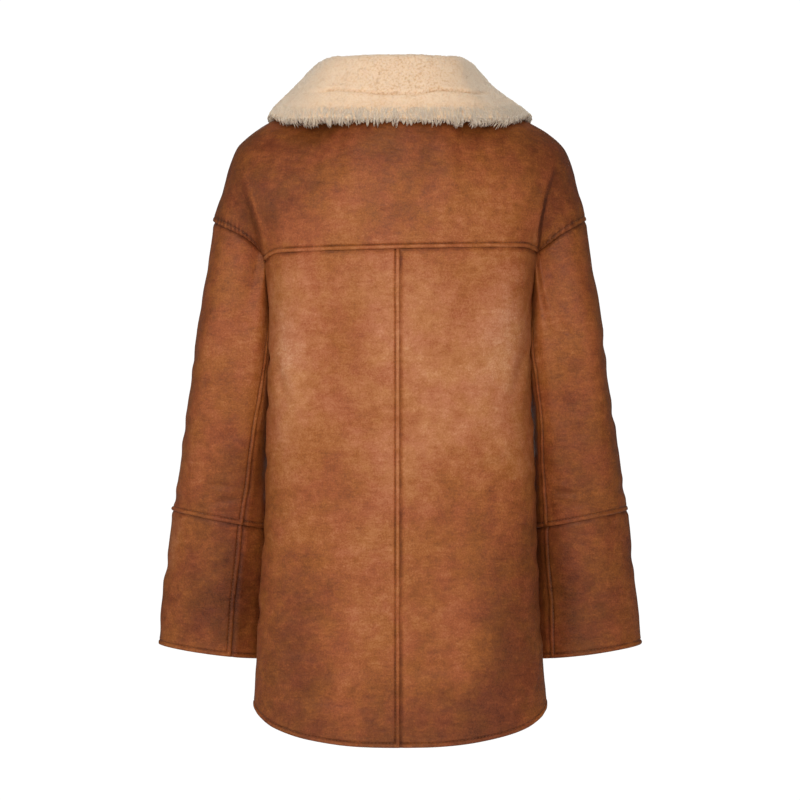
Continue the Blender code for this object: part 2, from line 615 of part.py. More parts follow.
def build():
    for obj in list(bpy.data.objects):
        bpy.data.objects.remove(obj)
    leather = plain_material("brown_leather", (0.27, 0.105, 0.038), 0.5)
    fur = plain_material("cream_shearling", (0.82, 0.62, 0.42), 0.9)
    horn = plain_material("brown_horn", (0.08, 0.035, 0.018), 0.35)
    body_centre = np.array([0.0, 0.0, -260.0])

    yoke_columns = [0.02, 0.045, 0.07, 0.095, 0.12, 0.15, 0.18, 0.22, 0.27, 0.32, 0.36, 0.41, 0.455]
    yoke_columns = yoke_columns + [0.5] + [1 - u for u in reversed(yoke_columns)]
    panel("back_yoke", leather, yoke_surface, yoke_columns, shares(9), body_centre,
          rims="left right bottom", low=-1.0)

    lower = [0.035, 0.07, 0.11, 0.16, 0.22] + shares(9, 0.22, 1.0)
    for side, name in ((1, "left"), (-1, "right")):
        def half_back(a, v, side=side):
            return back_surface(a * side, v)

        def half_back_normal(a, v, side=side):
            return back_normal(a * side, v)

        panel("back_" + name, leather, half_back, shares(9), lower, body_centre + [0, 100.0, 0],
              normal=half_back_normal, rims="left bottom" if side > 0 else "bottom")

    front_lap = FRONT_LAP / 190.0
    rows = shares(8, 0.0, FRONT_UPPER_SHARE) + [FRONT_UPPER_SHARE] + shares(10, FRONT_UPPER_SHARE, 1.0)
    columns = [0.07, 0.14, 0.21, 0.28, 0.36, 0.44, 0.52, 0.6, 0.68, 0.76, 0.83, 0.89, 0.95]
    for side, name in ((1, "left"), (-1, "right")):
        def front(a, v, side=side):
            return front_surface(side, a, v)

        def underlap(a):
            return UNDERLAP_DROP * (1 - ease((a - 0.17) / 0.12))

        panel("front_" + name, leather, front, columns, rows, np.array([40.0 * side, 0.0, -260.0]),
              rims="left bottom" if side < 0 else "bottom", drop=underlap if side > 0 else None, low=-front_lap)

        upper_levels = [0.06, 0.12, 0.19] + shares(8, 0.19, 1.0)
        pieces = (
            # name, whether it is the under panel, first and last level, columns, rows, rims, height of its middle
            ("sleeve_outer_", False, 0.0, SLEEVE_CUFF_SEAM, 15, upper_levels, "bottom right", -380.0),
            ("sleeve_under_", True, 0.0, SLEEVE_CUFF_SEAM, 4, upper_levels, "bottom", -380.0),
            ("cuff_outer_", False, SLEEVE_CUFF_SEAM, SLEEVE_END, 15, shares(4), "bottom right", -580.0),
            ("cuff_under_", True, SLEEVE_CUFF_SEAM, SLEEVE_END, 4, shares(4), "bottom", -580.0),
        )
        for stem, under, first, last, count, levels, rims, height in pieces:
            across = sleeve_ring(np.array([0.0, np.pi]), np.array([height, height]))
            panel(stem + name, leather, sleeve_panel(side, under, first, last), shares(count), levels,
                  across.mean(axis=0) * [side, 1, 1], rims=rims)

    make_collar(fur)
    for i, z in enumerate(BUTTON_HEIGHTS):
        make_button(f"button_{i + 1}", z, horn)


build()
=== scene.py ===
"""The looks of a hip-length leather jacket with a shearling collar, laid over the frame of its solids."""

import bpy
import numpy as np
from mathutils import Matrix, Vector


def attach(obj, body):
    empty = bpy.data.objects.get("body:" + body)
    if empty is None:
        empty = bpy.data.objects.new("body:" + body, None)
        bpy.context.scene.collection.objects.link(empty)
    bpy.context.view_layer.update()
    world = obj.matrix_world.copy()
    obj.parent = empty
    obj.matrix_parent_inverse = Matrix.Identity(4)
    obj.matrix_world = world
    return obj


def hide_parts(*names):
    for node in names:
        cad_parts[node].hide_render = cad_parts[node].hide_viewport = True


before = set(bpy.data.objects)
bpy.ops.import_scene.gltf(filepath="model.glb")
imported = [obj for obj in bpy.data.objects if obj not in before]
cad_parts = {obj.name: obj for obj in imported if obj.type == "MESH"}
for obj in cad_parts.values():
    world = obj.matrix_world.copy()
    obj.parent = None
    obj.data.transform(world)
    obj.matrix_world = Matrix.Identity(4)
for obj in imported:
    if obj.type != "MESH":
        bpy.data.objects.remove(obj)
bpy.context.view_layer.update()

# The forms below are in millimetres: X is to the wearer's left, Y to the back, Z up. They follow the solids'
# own, but the yoke's seam drops more softly at its ends, the armhole folds have a lip and widths of their own,
# the sleeves lie closer to the armholes, and the back of the upper sleeve is flatter.
FRONT_LAP = 26.0
UNDERLAP_DROP = 4.2
BUTTON_HEIGHTS = (-190, -315, -440, -565)

UNDERARM_Z = -236.0
YOKE_SEAM_Z = -176.5
YOKE_SEAM_TILT = -0.025
YOKE_SEAM_HALF = 162.0
YOKE_SEAM_TURN = 137.0
YOKE_SEAM_TURN_WIDTH = 22.0
YOKE_SEAM_END_DROP = {"left": 6.0, "right": 4.0}
SHOULDER_Y = -5.0

# Angles round the body start at the centre back and reach 180 degrees at the centre front.
YOKE_END_ANGLE = np.radians(92.0)
SIDE_SEAM_ANGLE = np.radians(112.0)

# How much of the lower back's and the fronts' height lies above the underarm.
UPPER_SHARE = 0.11
FRONT_UPPER_SHARE = 0.3

# The body, by height: half width, how far back, how far forward, where it is widest, and two fullnesses.
BODY_Z = (-780, -722, -632, -517, -402, -270, -236, -176, -120)
BODY_SIZES = (
    # half_width, back, front, widest_y, back_fullness, front_fullness
    (178, 128, 144, 44, 0.1, 0.06),
    (175.5, 128, 144, 45, 0.1, 0.05),
    (170, 127, 143, 46, 0.11, 0.04),
    (165, 126, 142, 47, 0.12, 0.03),
    (160.5, 126, 141, 48, 0.13, 0.02),
    (157.5, 127, 141, 49, 0.14, 0.02),
    (158.5, 127, 140, 50, 0.14, 0.03),
    (163, 126, 136, 51, 0.14, 0.08),
    (168, 122, 128, 51, 0.14, 0.1),
)

# The hem's height, by the angle round the body.
HEM_ANGLE = np.radians((-20, 0, 20, 32, 46, 58, 70, 82, 92, 112, 140, 180, 200))
HEM_Z = (-759.5, -761.5, -759.5, -755, -748, -740.5, -731.5, -723, -718, -713, -721, -727, -726)

# The back of the neckline, by place across the yoke.
NECK_PLACE = (-0.11, 0, 0.11, 0.21, 0.31)
NECK_BACK = (
    # x, y, z
    (-38, 66, 5), (0, 74, 4), (38, 66, 5), (64, 38, 8), (77, -4, 12),
)
# The ridge from the neck to the dropped shoulder seam.
RIDGE_PLACE = (0, 0.15, 0.29, 0.39, 0.455, 0.515, 0.565, 0.615, 0.665, 0.715, 0.775, 0.835, 0.89, 0.94, 1)
RIDGE = (
    # x, z
    (77, 12), (110, 3.5), (140, -6.5), (161, -16), (174, -24), (184, -31), (192.5, -38), (199, -45),
    (203.5, -53.5), (207, -63), (210.5, -75), (213.5, -87), (217, -100), (221.5, -114.5), (227, -135),
)
NECK_CORNER = 0.31
# The front of the neckline, by place across the front.
FRONT_NECK_PLACE = (-0.2, -0.12, 0, 0.12, 0.2, 0.29, 0.38)
NECK_FRONT = (
    # x, y, z
    (-52, -98, -44), (-30, -119, -71), (0, -123, -80), (30, -119, -71), (52, -98, -44), (68, -60, -12),
    (77, -4, 12),
)
FRONT_NECK_CORNER = 0.38

# How strongly the yoke and the fronts start off backwards and forwards from their top edge, by place across.
YOKE_START_PLACE = (0, 0.11, 0.21, 0.31, 0.45, 0.6, 0.8, 1)
YOKE_START = (
    # y, z, and how strongly it arrives at the bottom
    (105, -30, 150), (125, -32, 150), (224, -45, 155), (330, -60, 160), (318, -58, 155), (305, -50, 145),
    (292, -30, 110), (275, -10, 45),
)
FRONT_START_PLACE = (-0.2, -0.12, 0, 0.12, 0.38, 0.65, 1)
FRONT_START = (
    # y, z, and how strongly it arrives at the chest
    (-65, -66, 100), (-40, -70, 95), (-25, -70, 90), (-40, -70, 95), (-150, -50, 130), (-210, -30, 110),
    (-240, -10, 60),
)

# The fold where the body laps over the back of the arm: how far across it lies and how full it is, by height.
FOLD_Z = (-190, -176, -160, -127, -102, -86, -75, -55)
FOLD_X = (161, 162, 163.5, 168.5, 174, 179.5, 184, 192)
FOLD_SHARE = (1, 1, 1, 0.85, 0.6, 0.35, 0.12, 0)
FOLD_LEFT_OUT = (0, 0, 1, 6, 8, 9, 9, 9)
FOLD_START = 36.0
FOLD_WIDTH = {"left": 8.0, "right": 5.0}
FOLD_DEPTH = {"left": 6.0, "right": 12.0}
# The lip before the fold: its height, how far before the fold it lies, and its width.
FOLD_LIP = {"left": 1.6, "right": 0.9}
FOLD_LIP_BEFORE = 3.0
FOLD_LIP_WIDTH = 4.0
# The painted highlight before the fold and the painted shade line past it: tone, distance from the fold, and
# width.
FOLD_PAINTED_HIGHLIGHT = {"left": 2.6, "right": 1.2}
FOLD_PAINTED_SHADE = {"left": -0.2, "right": -1.3}
FOLD_LINE_AWAY = 2.5
FOLD_HIGHLIGHT_WIDTH = 2.2
FOLD_SHADE_WIDTH = 2.8
FOLD_TONE_START = 20.0

# How the yoke's surface arrives at its bottom seam and leaves its top one, next to each armhole.
ARMHOLE_START = 0.6
ARMHOLE_ARRIVAL = {"left": 90.0, "right": 15.0}
ARMHOLE_LEAVING = {"left": -20.0, "right": 5.0}
# How far the sleeve stands off the armhole's back and underside, and how far below its edge it starts.
ARMHOLE_GAP = 0.2
ARMHOLE_GAP_TURNS = np.radians((85.0, 275.0))
ARMHOLE_GAP_EASE = np.radians(45.0)
ARMHOLE_BELOW = 0.3
FRONT_SIDE_ARRIVAL = 150.0
WAIST_Z = -402.0

# The sleeve, by height: centre, half widths, slant of each ring, where the back seam lies on each side,
# and how flat the back is.
SLEEVE_Z = (-305, -378, -452, -500, -549, -598, -663.5)
SLEEVE_SIZES = (
    # centre_x, centre_y, half_width, half_depth, slant, left back seam, right back seam, flatness
    (202.3, -16, 48.8, 68, 0.21, 146, 147, 0.55),
    (210.5, -19, 50, 65, 0.2, 138.5, 146.5, 0.5),
    (217.3, -24, 54.6, 61.5, 0.2, 130, 145, 0.25),
    (220.8, -29, 58.3, 59, 0.19, 121.5, 141.5, 0.06),
    (224.6, -34, 61.1, 56.5, 0.16, 118.5, 139, 0),
    (228.3, -39, 63, 54, 0.13, 116, 137.5, 0),
    (233.7, -44, 64.8, 52, 0.135, 115.5, 139, 0),
)
SLEEVE_CUFF_SEAM = 4.0
SLEEVE_END = 7.0
ARMHOLE_BACK_SEAM = 152.0
ARMHOLE_FRONT_SEAM = 214.0
SLEEVE_FRONT_SEAM = 232.0
ARMHOLE_TURNS = np.radians((120.0, 180.0))
# How far the top of the sleeve flares out at the armhole, as a share of its length.
SLEEVE_FLARE = 0.06
SLEEVE_RADIUS = 60.0

# The collar's middle layer, by place from the centre back to the front end: neck seam, stand, roll, fall and
# edge. The neck seam's own points come from the neckline.
COLLAR_PLACE = (-0.2, 0, 0.2, 0.4, 0.52, 0.66, 0.82, 1)
COLLAR_SHOULDER = 0.52
COLLAR_FRONT_END = 0.07
COLLAR_LIFT_PLACE = (0.0, COLLAR_SHOULDER, 0.82, 1.0)
COLLAR_LIFT = ((0, 0.1, 0.75), (0.8, -0.4, 2.3), (0, -1.3, 1.2), (0, -3.6, 1.3))
COLLAR_ACROSS = (0, 0.26, 0.42, 0.7, 1)
COLLAR_POINTS = (
    ((-46, 61, 12), (-48, 61, 38), (-54, 70, 52), (-68, 86, 18), (-76, 102, -20)),
    ((0, 74, 11), (0, 73, 38), (0, 82, 52), (0, 96, 18), (0, 109, -21)),
    ((46, 61, 12), (48, 61, 38), (54, 70, 52.5), (68, 86, 18), (76, 102, -20)),
    ((72, 28, 16), (76, 30, 40), (86, 36, 53), (109.5, 50, 20.5), (132, 66, -17)),
    ((80, -8, 20), (85, -8, 39), (96, -8, 50), (129, -2, 20.5), (156, 4, -7.5)),
    ((73, -56, 4), (82, -60, 20), (96, -63, 28), (129, -62, 4), (154, -55, -24)),
    ((52, -104, -38), (60, -114, -24), (74, -120, -19), (108, -120, -48), (136, -104, -86)),
    ((20, -130, -76), (26, -141, -68), (37, -149, -70), (66, -153, -108), (92, -142, -150)),
)
# How much nearer the middle each of those points lies on the wearer's right.
COLLAR_RIGHT_NARROWER = (
    (0, 0, 0, 0, 0), (0, 0, 0, 0, 0), (0, 0, 2, 5, 1), (0, 2, 10, 18, 4), (0, 2, 10, 14, 0.5),
    (0, 1, 6, 10, 2), (0, 0, 1, 3, 1), (0, 0, 0, 0, 0),
)
COLLAR_HALF_ACROSS = (0, 0.2, 0.42, 0.8, 0.95, 1)
COLLAR_HALF = (3.6, 4.8, 5.6, 6.4, 5.6, 4.2)

# Keeps a direction of no length from dividing by zero.
TINY = 1e-12


def smooth(knots, values, at):
    """The value, at any place along the knots, of a smooth curve through the rows of a table."""
    knots = np.asarray(knots, float)
    values = np.asarray(values, float)
    at = np.clip(np.asarray(at, float), knots[0], knots[-1])
    slope = np.gradient(values, knots, axis=0)
    i = np.clip(np.searchsorted(knots, at, side="right") - 1, 0, len(knots) - 2)
    step = knots[i + 1] - knots[i]
    t = (at - knots[i]) / step
    if values.ndim > 1:
        t = t[..., None]
        step = step[..., None]
    start = (1 + 2 * t) * (1 - t) ** 2 * values[i] + t * (1 - t) ** 2 * step * slope[i]
    end = t**2 * (3 - 2 * t) * values[i + 1] - t**2 * (1 - t) * step * slope[i + 1]
    return start + end


def ease(t):
    """Rises smoothly from 0 to 1 while t does."""
    t = np.clip(t, 0.0, 1.0)
    return t * t * (3 - 2 * t)


def bell(offset, width):
    """A soft hump: 1 where the offset is 0, and fading out to both sides."""
    return np.exp(-((offset / width) ** 2))


def unit(vectors):
    """The vectors at a length of 1."""
    return vectors / (np.linalg.norm(vectors, axis=-1, keepdims=True) + TINY)


def run_lengths(points):
    """How far along the rows of points each one lies from the first."""
    steps = np.linalg.norm(np.diff(points, axis=0), axis=-1)
    return np.concatenate([np.zeros((1,) + steps.shape[1:]), np.cumsum(steps, axis=0)])


def hermite(start, leaving, end, arriving, t):
    """Points of a cubic curve from its ends and their directions."""
    t = t[..., None]
    first = (1 + 2 * t) * (1 - t) ** 2 * start + t * (1 - t) ** 2 * leaving
    return first + t**2 * (3 - 2 * t) * end - t**2 * (1 - t) * arriving


def xyz(x, y, z):
    return np.stack(np.broadcast_arrays(x, y, z), axis=-1).astype(float)


def mirrored(points, side):
    """The points with their x turned over where side is negative."""
    return points * xyz(side, 1.0, 1.0)


def by_side(side, table):
    return np.where(np.asarray(side) > 0, table["left"], table["right"])


def body_ring(angle, z):
    """A point of the body at an angle from the centre back, on the left."""
    size = smooth(BODY_Z, BODY_SIZES, z)
    behind = np.cos(angle) > 0
    full = np.where(behind, size[..., 4], size[..., 5])
    reach = np.where(behind, size[..., 1] - size[..., 3], size[..., 2] + size[..., 3])
    x = size[..., 0] * np.sin(angle) * (1 + full * np.cos(angle) ** 2)
    y = size[..., 3] + reach * np.cos(angle) * (1 + full * np.sin(angle) ** 2)
    return xyz(x, y, z)


def body_down(angle, z):
    """The way down the body's surface."""
    return (body_ring(angle, z - 1.0) - body_ring(angle, z + 1.0)) / 2.0


def hem_z(angle):
    return smooth(HEM_ANGLE, HEM_Z, angle)


def yoke_seam_z(angle, side):
    """The height of the yoke's bottom seam, which drops at both ends."""
    across = np.sin(angle) * YOKE_SEAM_HALF
    past = np.clip((across - YOKE_SEAM_TURN) / YOKE_SEAM_TURN_WIDTH, 0.0, 1.0)
    return YOKE_SEAM_Z + YOKE_SEAM_TILT * side * across - by_side(side, YOKE_SEAM_END_DROP) * past**2


def ridge_point(place):
    """A point of the shoulder line, from the neck to the dropped shoulder seam."""
    found = smooth(RIDGE_PLACE, RIDGE, place)
    return xyz(found[..., 0], SHOULDER_Y, found[..., 1])


def yoke_surface(u, v):
    """The yoke, from its right armhole at u = -1 to its left one at 1, and from its top to its bottom seam."""
    side = np.where(u < 0, -1.0, 1.0)
    a = np.abs(u)
    neck = smooth(NECK_PLACE, NECK_BACK, np.minimum(a, NECK_CORNER))
    ridge = ridge_point(np.clip((a - NECK_CORNER) / (1 - NECK_CORNER), 0.0, 1.0))
    top = np.where((a < NECK_CORNER)[..., None], neck, ridge)
    angle = a * YOKE_END_ANGLE
    z = yoke_seam_z(angle, side)
    bottom = body_ring(angle, z)
    start = smooth(YOKE_START_PLACE, YOKE_START, a)
    near_arm = ease((a - ARMHOLE_START) / (1.0 - ARMHOLE_START))
    arrival = start[..., 2] + (by_side(side, ARMHOLE_ARRIVAL) - start[..., 2]) * near_arm
    leaving = xyz(0.0, start[..., 0], start[..., 1] + by_side(side, ARMHOLE_LEAVING) * near_arm)
    found = hermite(top, leaving, bottom, body_down(angle, z) * arrival[..., None], v)
    return mirrored(folded(found, side), side)


def past_fold(points, side):
    """How far out beyond the armhole fold each point lies."""
    z = points[..., 2]
    fold_x = smooth(FOLD_Z, FOLD_X, z) + smooth(FOLD_Z, FOLD_LEFT_OUT, z) * (side > 0)
    return np.abs(points[..., 0]) - fold_x


def folded(points, side):
    """The points with those beyond the armhole fold set forward."""
    share = smooth(FOLD_Z, FOLD_SHARE, points[..., 2]) * ease(points[..., 1] / FOLD_START)
    past = past_fold(points, side)
    lip = by_side(side, FOLD_LIP) * share * bell(past + FOLD_LIP_BEFORE, FOLD_LIP_WIDTH)
    depth = by_side(side, FOLD_DEPTH) * share * ease(past / by_side(side, FOLD_WIDTH))
    return points + xyz(0.0, lip - depth, 0.0)


def fold_painted_light_and_shade(points):
    """A painted highlight along the edge of each armhole fold, and a painted shade line beside it."""
    side = np.sign(points[..., 0])
    start = (points[..., 1] - FOLD_TONE_START) / FOLD_START
    share = smooth(FOLD_Z, FOLD_SHARE, points[..., 2]) * ease(start)
    past = past_fold(points, side)
    light = by_side(side, FOLD_PAINTED_HIGHLIGHT) * bell(past + FOLD_LINE_AWAY, FOLD_HIGHLIGHT_WIDTH)
    dark = by_side(side, FOLD_PAINTED_SHADE) * bell(past - FOLD_LINE_AWAY, FOLD_SHADE_WIDTH)
    return share * (light + dark)


def back_surface(u, v):
    """The lower back, from its right side at u = -1 to its left one at 1, and from the yoke seam to the hem."""
    side = np.where(u < 0, -1.0, 1.0)
    a = np.abs(u)
    r = np.clip(v / UPPER_SHARE, 0.0, 1.0)
    q = np.clip((v - UPPER_SHARE) / (1 - UPPER_SHARE), 0.0, 1.0)
    near_arm = a**3
    drop = r * (1 - near_arm) + np.sin(np.pi / 2 * r) * near_arm
    end = YOKE_END_ANGLE + (SIDE_SEAM_ANGLE - YOKE_END_ANGLE) * (1 - np.cos(np.pi / 2 * r))
    angle = a * end
    top = yoke_seam_z(angle, side)
    z = top + (UNDERARM_Z - top) * drop + (hem_z(angle) - UNDERARM_Z) * q
    return mirrored(body_ring(angle, z), side)


def front_surface(side, a, v):
    """One front, from the centre at a = 0 to the side at 1. It runs past the centre where a is negative."""
    across = np.sign(a) * np.minimum(np.abs(a), FRONT_NECK_CORNER)
    neck = smooth(FRONT_NECK_PLACE, NECK_FRONT, across)
    ridge = ridge_point(np.clip((a - FRONT_NECK_CORNER) / (1 - FRONT_NECK_CORNER), 0.0, 1.0))
    top = np.where((a < FRONT_NECK_CORNER)[..., None], neck, ridge)
    angle = np.pi - a * (np.pi - SIDE_SEAM_ANGLE)
    underarm = np.full_like(angle, UNDERARM_Z)
    chest = body_ring(angle, underarm)
    start = smooth(FRONT_START_PLACE, FRONT_START, a)
    at_side = np.clip(a, 0.0, 1.0)[..., None] ** 5
    backwards = unit(body_ring(angle - 0.01, underarm) - chest)
    down = body_down(angle, underarm)
    arriving = down * start[..., 2:3] * (1 - at_side) + backwards * FRONT_SIDE_ARRIVAL * at_side
    t = np.clip(v / FRONT_UPPER_SHARE, 0.0, 1.0)
    upper = hermite(top, xyz(0.0, start[..., 0], start[..., 1]), chest, arriving, t)
    q = np.clip((v - FRONT_UPPER_SHARE) / (1 - FRONT_UPPER_SHARE), 0.0, 1.0)
    lower = body_ring(angle, UNDERARM_Z + (hem_z(angle) - UNDERARM_Z) * q)
    return mirrored(np.where((v < FRONT_UPPER_SHARE)[..., None], upper, lower), side)


def armhole(side, turn):
    """A point of the armhole, by turn: 0 at the shoulder, a quarter at the back, half under the arm."""
    turn = np.mod(turn, 2 * np.pi)
    over = np.clip(turn / ARMHOLE_TURNS[0], 0.0, 1.0)
    under = np.clip((turn - ARMHOLE_TURNS[0]) / (ARMHOLE_TURNS[1] - ARMHOLE_TURNS[0]), 0.0, 1.0)
    ahead = np.clip(1.0 - (turn - np.pi) / np.pi, 0.0, 1.0)
    one = np.ones_like(turn)
    top = yoke_surface(one * side, over)
    low = back_surface(one * side, under * UPPER_SHARE)
    front = front_surface(side, one, ahead * FRONT_UPPER_SHARE)
    found = np.where((turn < ARMHOLE_TURNS[0])[..., None], top, low)
    found = np.where((turn > np.pi)[..., None], front, found)
    clear = ease((turn - ARMHOLE_GAP_TURNS[0]) / ARMHOLE_GAP_EASE)
    clear = clear * ease((ARMHOLE_GAP_TURNS[1] - turn) / ARMHOLE_GAP_EASE)
    return mirrored(found, side) + xyz(ARMHOLE_GAP * clear, 0.0, -ARMHOLE_BELOW)


def sleeve_ring(turn, z):
    """A point of the left sleeve, by its turn and by the height of its ring's middle."""
    size = smooth([-z for z in SLEEVE_Z], SLEEVE_SIZES, -z)
    x = size[..., 0] + size[..., 2] * np.cos(turn)
    ahead = np.sin(turn)
    back = ahead * (1.0 + size[..., 7] * (1.0 - ahead**2))
    y = size[..., 1] + size[..., 3] * np.where(ahead > 0, back, ahead)
    return xyz(x, y, z + size[..., 4] * size[..., 2] * np.cos(turn))


def sleeve_surface(side, turn, level):
    """A point of a sleeve: level 0 is the armhole, 1 the table's first ring, and 7 the sleeve's end."""
    start = armhole(side, turn)
    first = np.full_like(turn, SLEEVE_Z[0])
    end = sleeve_ring(turn, first)
    length = np.linalg.norm(end - start, axis=-1, keepdims=True)
    leaving = xyz(SLEEVE_FLARE * (1.0 + np.cos(turn)), SLEEVE_FLARE * np.sin(turn), -1.0) * length
    arriving = (sleeve_ring(turn, first - 2.0) - sleeve_ring(turn, first)) / 2.0 * length
    upper = hermite(start, leaving, end, arriving, np.clip(level, 0.0, 1.0))
    z = np.interp(level, np.arange(1, len(SLEEVE_Z) + 1), SLEEVE_Z)
    lower = sleeve_ring(turn, z)
    return mirrored(np.where((level < 1.0)[..., None], upper, lower), side)


def back_seam_turn(side, level):
    """The turn at which a sleeve's back seam lies."""
    column = 5 if side > 0 else 6
    turns = [ARMHOLE_BACK_SEAM] + [row[column] for row in SLEEVE_SIZES]
    return np.radians(smooth(range(len(turns)), turns, level))


def front_seam_turn(level):
    """The turn at which a sleeve's front seam lies."""
    return np.radians(ARMHOLE_FRONT_SEAM + (SLEEVE_FRONT_SEAM - ARMHOLE_FRONT_SEAM) * ease(level))


def sleeve_panel(side, under, first, last):
    """The surface of one sleeve panel over u and v from 0 to 1."""

    def surface(u, v):
        level = first + (last - first) * v
        back = back_seam_turn(side, level)
        front = front_seam_turn(level)
        if under:
            turn = back + (front - back) * u
        else:
            turn = front - 2 * np.pi + (back - front + 2 * np.pi) * u
        return sleeve_surface(side, turn, level)

    return surface


def neck_seam(place):
    """Where the collar's stand meets the neckline, a little above the panels."""
    back = smooth(NECK_PLACE, NECK_BACK, place / COLLAR_SHOULDER * NECK_CORNER)
    ahead = (place - COLLAR_SHOULDER) / (1 - COLLAR_SHOULDER) * (FRONT_NECK_CORNER - COLLAR_FRONT_END)
    front = smooth(FRONT_NECK_PLACE, NECK_FRONT, FRONT_NECK_CORNER - np.maximum(ahead, 0.0))
    lift = smooth(COLLAR_LIFT_PLACE, COLLAR_LIFT, place)
    return np.where((place < COLLAR_SHOULDER)[:, None], back, front) + lift


def collar_grid(places, across):
    """The collar's middle layer, as one row of points for each place round the neck."""
    side = np.where(places < 0, -1.0, 1.0)
    table = np.array(COLLAR_POINTS).reshape(len(COLLAR_PLACE), -1)
    rows = smooth(COLLAR_PLACE, table, np.abs(places)).reshape(len(places), len(COLLAR_ACROSS), 3)
    narrower = smooth(COLLAR_PLACE, COLLAR_RIGHT_NARROWER, np.abs(places)) * (side < 0)[:, None]
    rows[:, :, 0] -= narrower
    rows[:, 0] = neck_seam(np.abs(places))
    grid = np.array([smooth(COLLAR_ACROSS, row, across) for row in rows])
    return mirrored(grid, side[:, None])


# What follows is the visible cloth. Each panel is a thin shell on its solid's form, with its seams, its wear
# and its painted light and shade.
SHELL = 2.6
# How far apart a panel's points lie. The yoke's are closest where it folds, within a share of both its ends.
CELL = 3.9
FRONT_CELL = 5.2
YOKE_CELL = 2.1
YOKE_CROWDED = 0.11
YOKE_CROWDED_CELL = 1.5
YOKE_SPACING = 2.4
INNER_STEP = 4
TRACK_STEPS = 61
END_CLEAR = 0.02
# Where the points lie next to an edge, by distance from it.
EDGE_LINES = (0.15, 0.5, 1.1, 2.2, 3.4, 4.4, 5.1, 5.6, 6.1, 6.8, 7.8, 9.4, 11.5)
FAR = 99.0

# The raised band along a lapped edge, with the topstitched groove behind it: how far in, how high.
RIM = (
    (0, -0.3), (0.5, 0.6), (1.1, 1.05), (2.2, 1.4), (3.4, 1.3), (4.4, 0.6), (5.1, -0.35), (5.6, -0.8),
    (6.1, -0.4), (6.8, 0.1), (7.8, 0.3), (9.4, 0.15), (11.5, 0),
)
# The edge that tucks in beside such a band.
TUCK = ((0, -1.7), (1.1, -1.5), (2.2, -1), (4.4, -0.2), (6.8, 0.15), (9.4, 0.1), (11.5, 0))
# How far each of the outermost lines of such an edge reaches under its neighbour.
TUCK_REACH = (1.8, 1.2, 0.5)
# The line of such an edge from which its direction is taken.
TUCK_LINES = 6
# How much lighter or darker the leather is at these distances from a lapped and from a tucked edge: painted
# shade at the lapped edge and in its stitch groove, with a lighter band between that is partly wear and partly
# painted highlight, and a painted shadow along the tucked edge.
RIM_PAINTED_SHADE_AND_WEAR = (
    (0, -0.9), (0.7, -0.3), (1.5, 0.35), (3.4, 0.35), (4.2, 0), (4.9, -0.7), (5.6, -1), (6.3, -0.7),
    (7.4, -0.2), (9.4, 0),
)
TUCK_PAINTED_SHADOW = ((0, -1), (1.8, -0.8), (3.6, -0.25), (6, 0))
SHARP_FROM = np.radians(55.0)
STITCH_LINE = 5.6
STITCH_PITCH = 4.2
STITCH_LENGTH = 3.0
STITCH_RADIUS = 0.3
# The rings of one stitch: how far along it, how high, and how thick, as shares of its length and radius.
STITCH_ALONG = (-0.5, -0.25, 0.25, 0.5)
STITCH_RISE = (-0.35, 0.2, 0.2, -0.35)
STITCH_TAPER = (0.6, 1.0, 1.0, 0.6)

# A crease is a trough that bends along its length, between two lower ridges.
CREASE_DEPTH = 1.5
CREASE_BEND = 0.12
CREASE_RIDGE = 0.55
CREASE_RIDGE_AWAY = 1.7
CREASE_RIDGE_SPREAD = 0.8
# Creases of the body: how far round it from the centre back (left positive) and how high they lie, then how
# steeply they rise towards the left in degrees, half their length, their width and their depth.
BODY_CREASES = (
    # across the back
    (45, -386, -6, 42, 5, 1), (48, -399, -3, 30, 6, 0.5), (-43, -375, 2, 40, 6, 0.5),
    (-35, -437, 17, 34, 6, 0.9), (-108, -431, -17, 46, 6, 1), (-78, -452, 4, 30, 7, 0.5),
    (150, -488, 0, 26, 5, 1), (54, -526, -10, 44, 6, 0.8), (96, -552, 6, 36, 7, 0.6),
    (118, -606, 5, 50, 9, 0.8), (122, -649, 1, 50, 8, 1.2), (60, -668, -4, 40, 9, 0.7),
    (88, -704, 3, 55, 9, 1), (-62, -595, -4, 36, 7, 0.8), (-112, -560, -9, 34, 7, 0.6),
    (-41, -669, 2, 36, 8, 1.3), (-98, -650, -8, 38, 8, 0.8), (-84, -707, 3, 60, 9, 1),
    (-60, -520, 8, 30, 6, 0.5), (70, -300, 12, 30, 8, 0.4), (-80, -318, -8, 36, 8, 0.5),
    (150, -330, 62, 44, 9, 0.8), (-152, -322, -64, 50, 9, 0.9),
    # across the sides, under the arms
    (205, -300, 24, 42, 9, 1.5), (212, -352, 12, 50, 10, 1.2), (196, -430, -8, 44, 9, 1.1),
    (208, -520, 6, 52, 11, 1.3), (200, -610, -5, 40, 10, 1), (-204, -292, -26, 40, 9, 1.5),
    (-210, -366, -10, 48, 10, 1.3), (-198, -455, 9, 40, 9, 1), (-206, -540, -7, 54, 11, 1.3),
    (-200, -628, 4, 42, 10, 0.9),
    # across the fronts
    (286, -262, 38, 44, 10, 1.4), (300, -340, 22, 52, 9, 1.1), (338, -398, 9, 40, 8, 0.9),
    (292, -452, -6, 48, 9, 1.1), (344, -508, 5, 42, 8, 0.8), (300, -566, -4, 54, 10, 1.1),
    (350, -620, 7, 40, 9, 0.9), (296, -668, 2, 50, 9, 1), (-288, -270, -36, 46, 10, 1.4),
    (-304, -332, -20, 48, 9, 1), (-340, -376, 6, 38, 8, 0.8), (-290, -436, -9, 52, 9, 1.2),
    (-336, -482, -4, 40, 8, 0.9), (-298, -548, 5, 50, 10, 1), (-346, -604, -6, 44, 9, 0.9),
    (-300, -662, 3, 52, 9, 1.1),
)
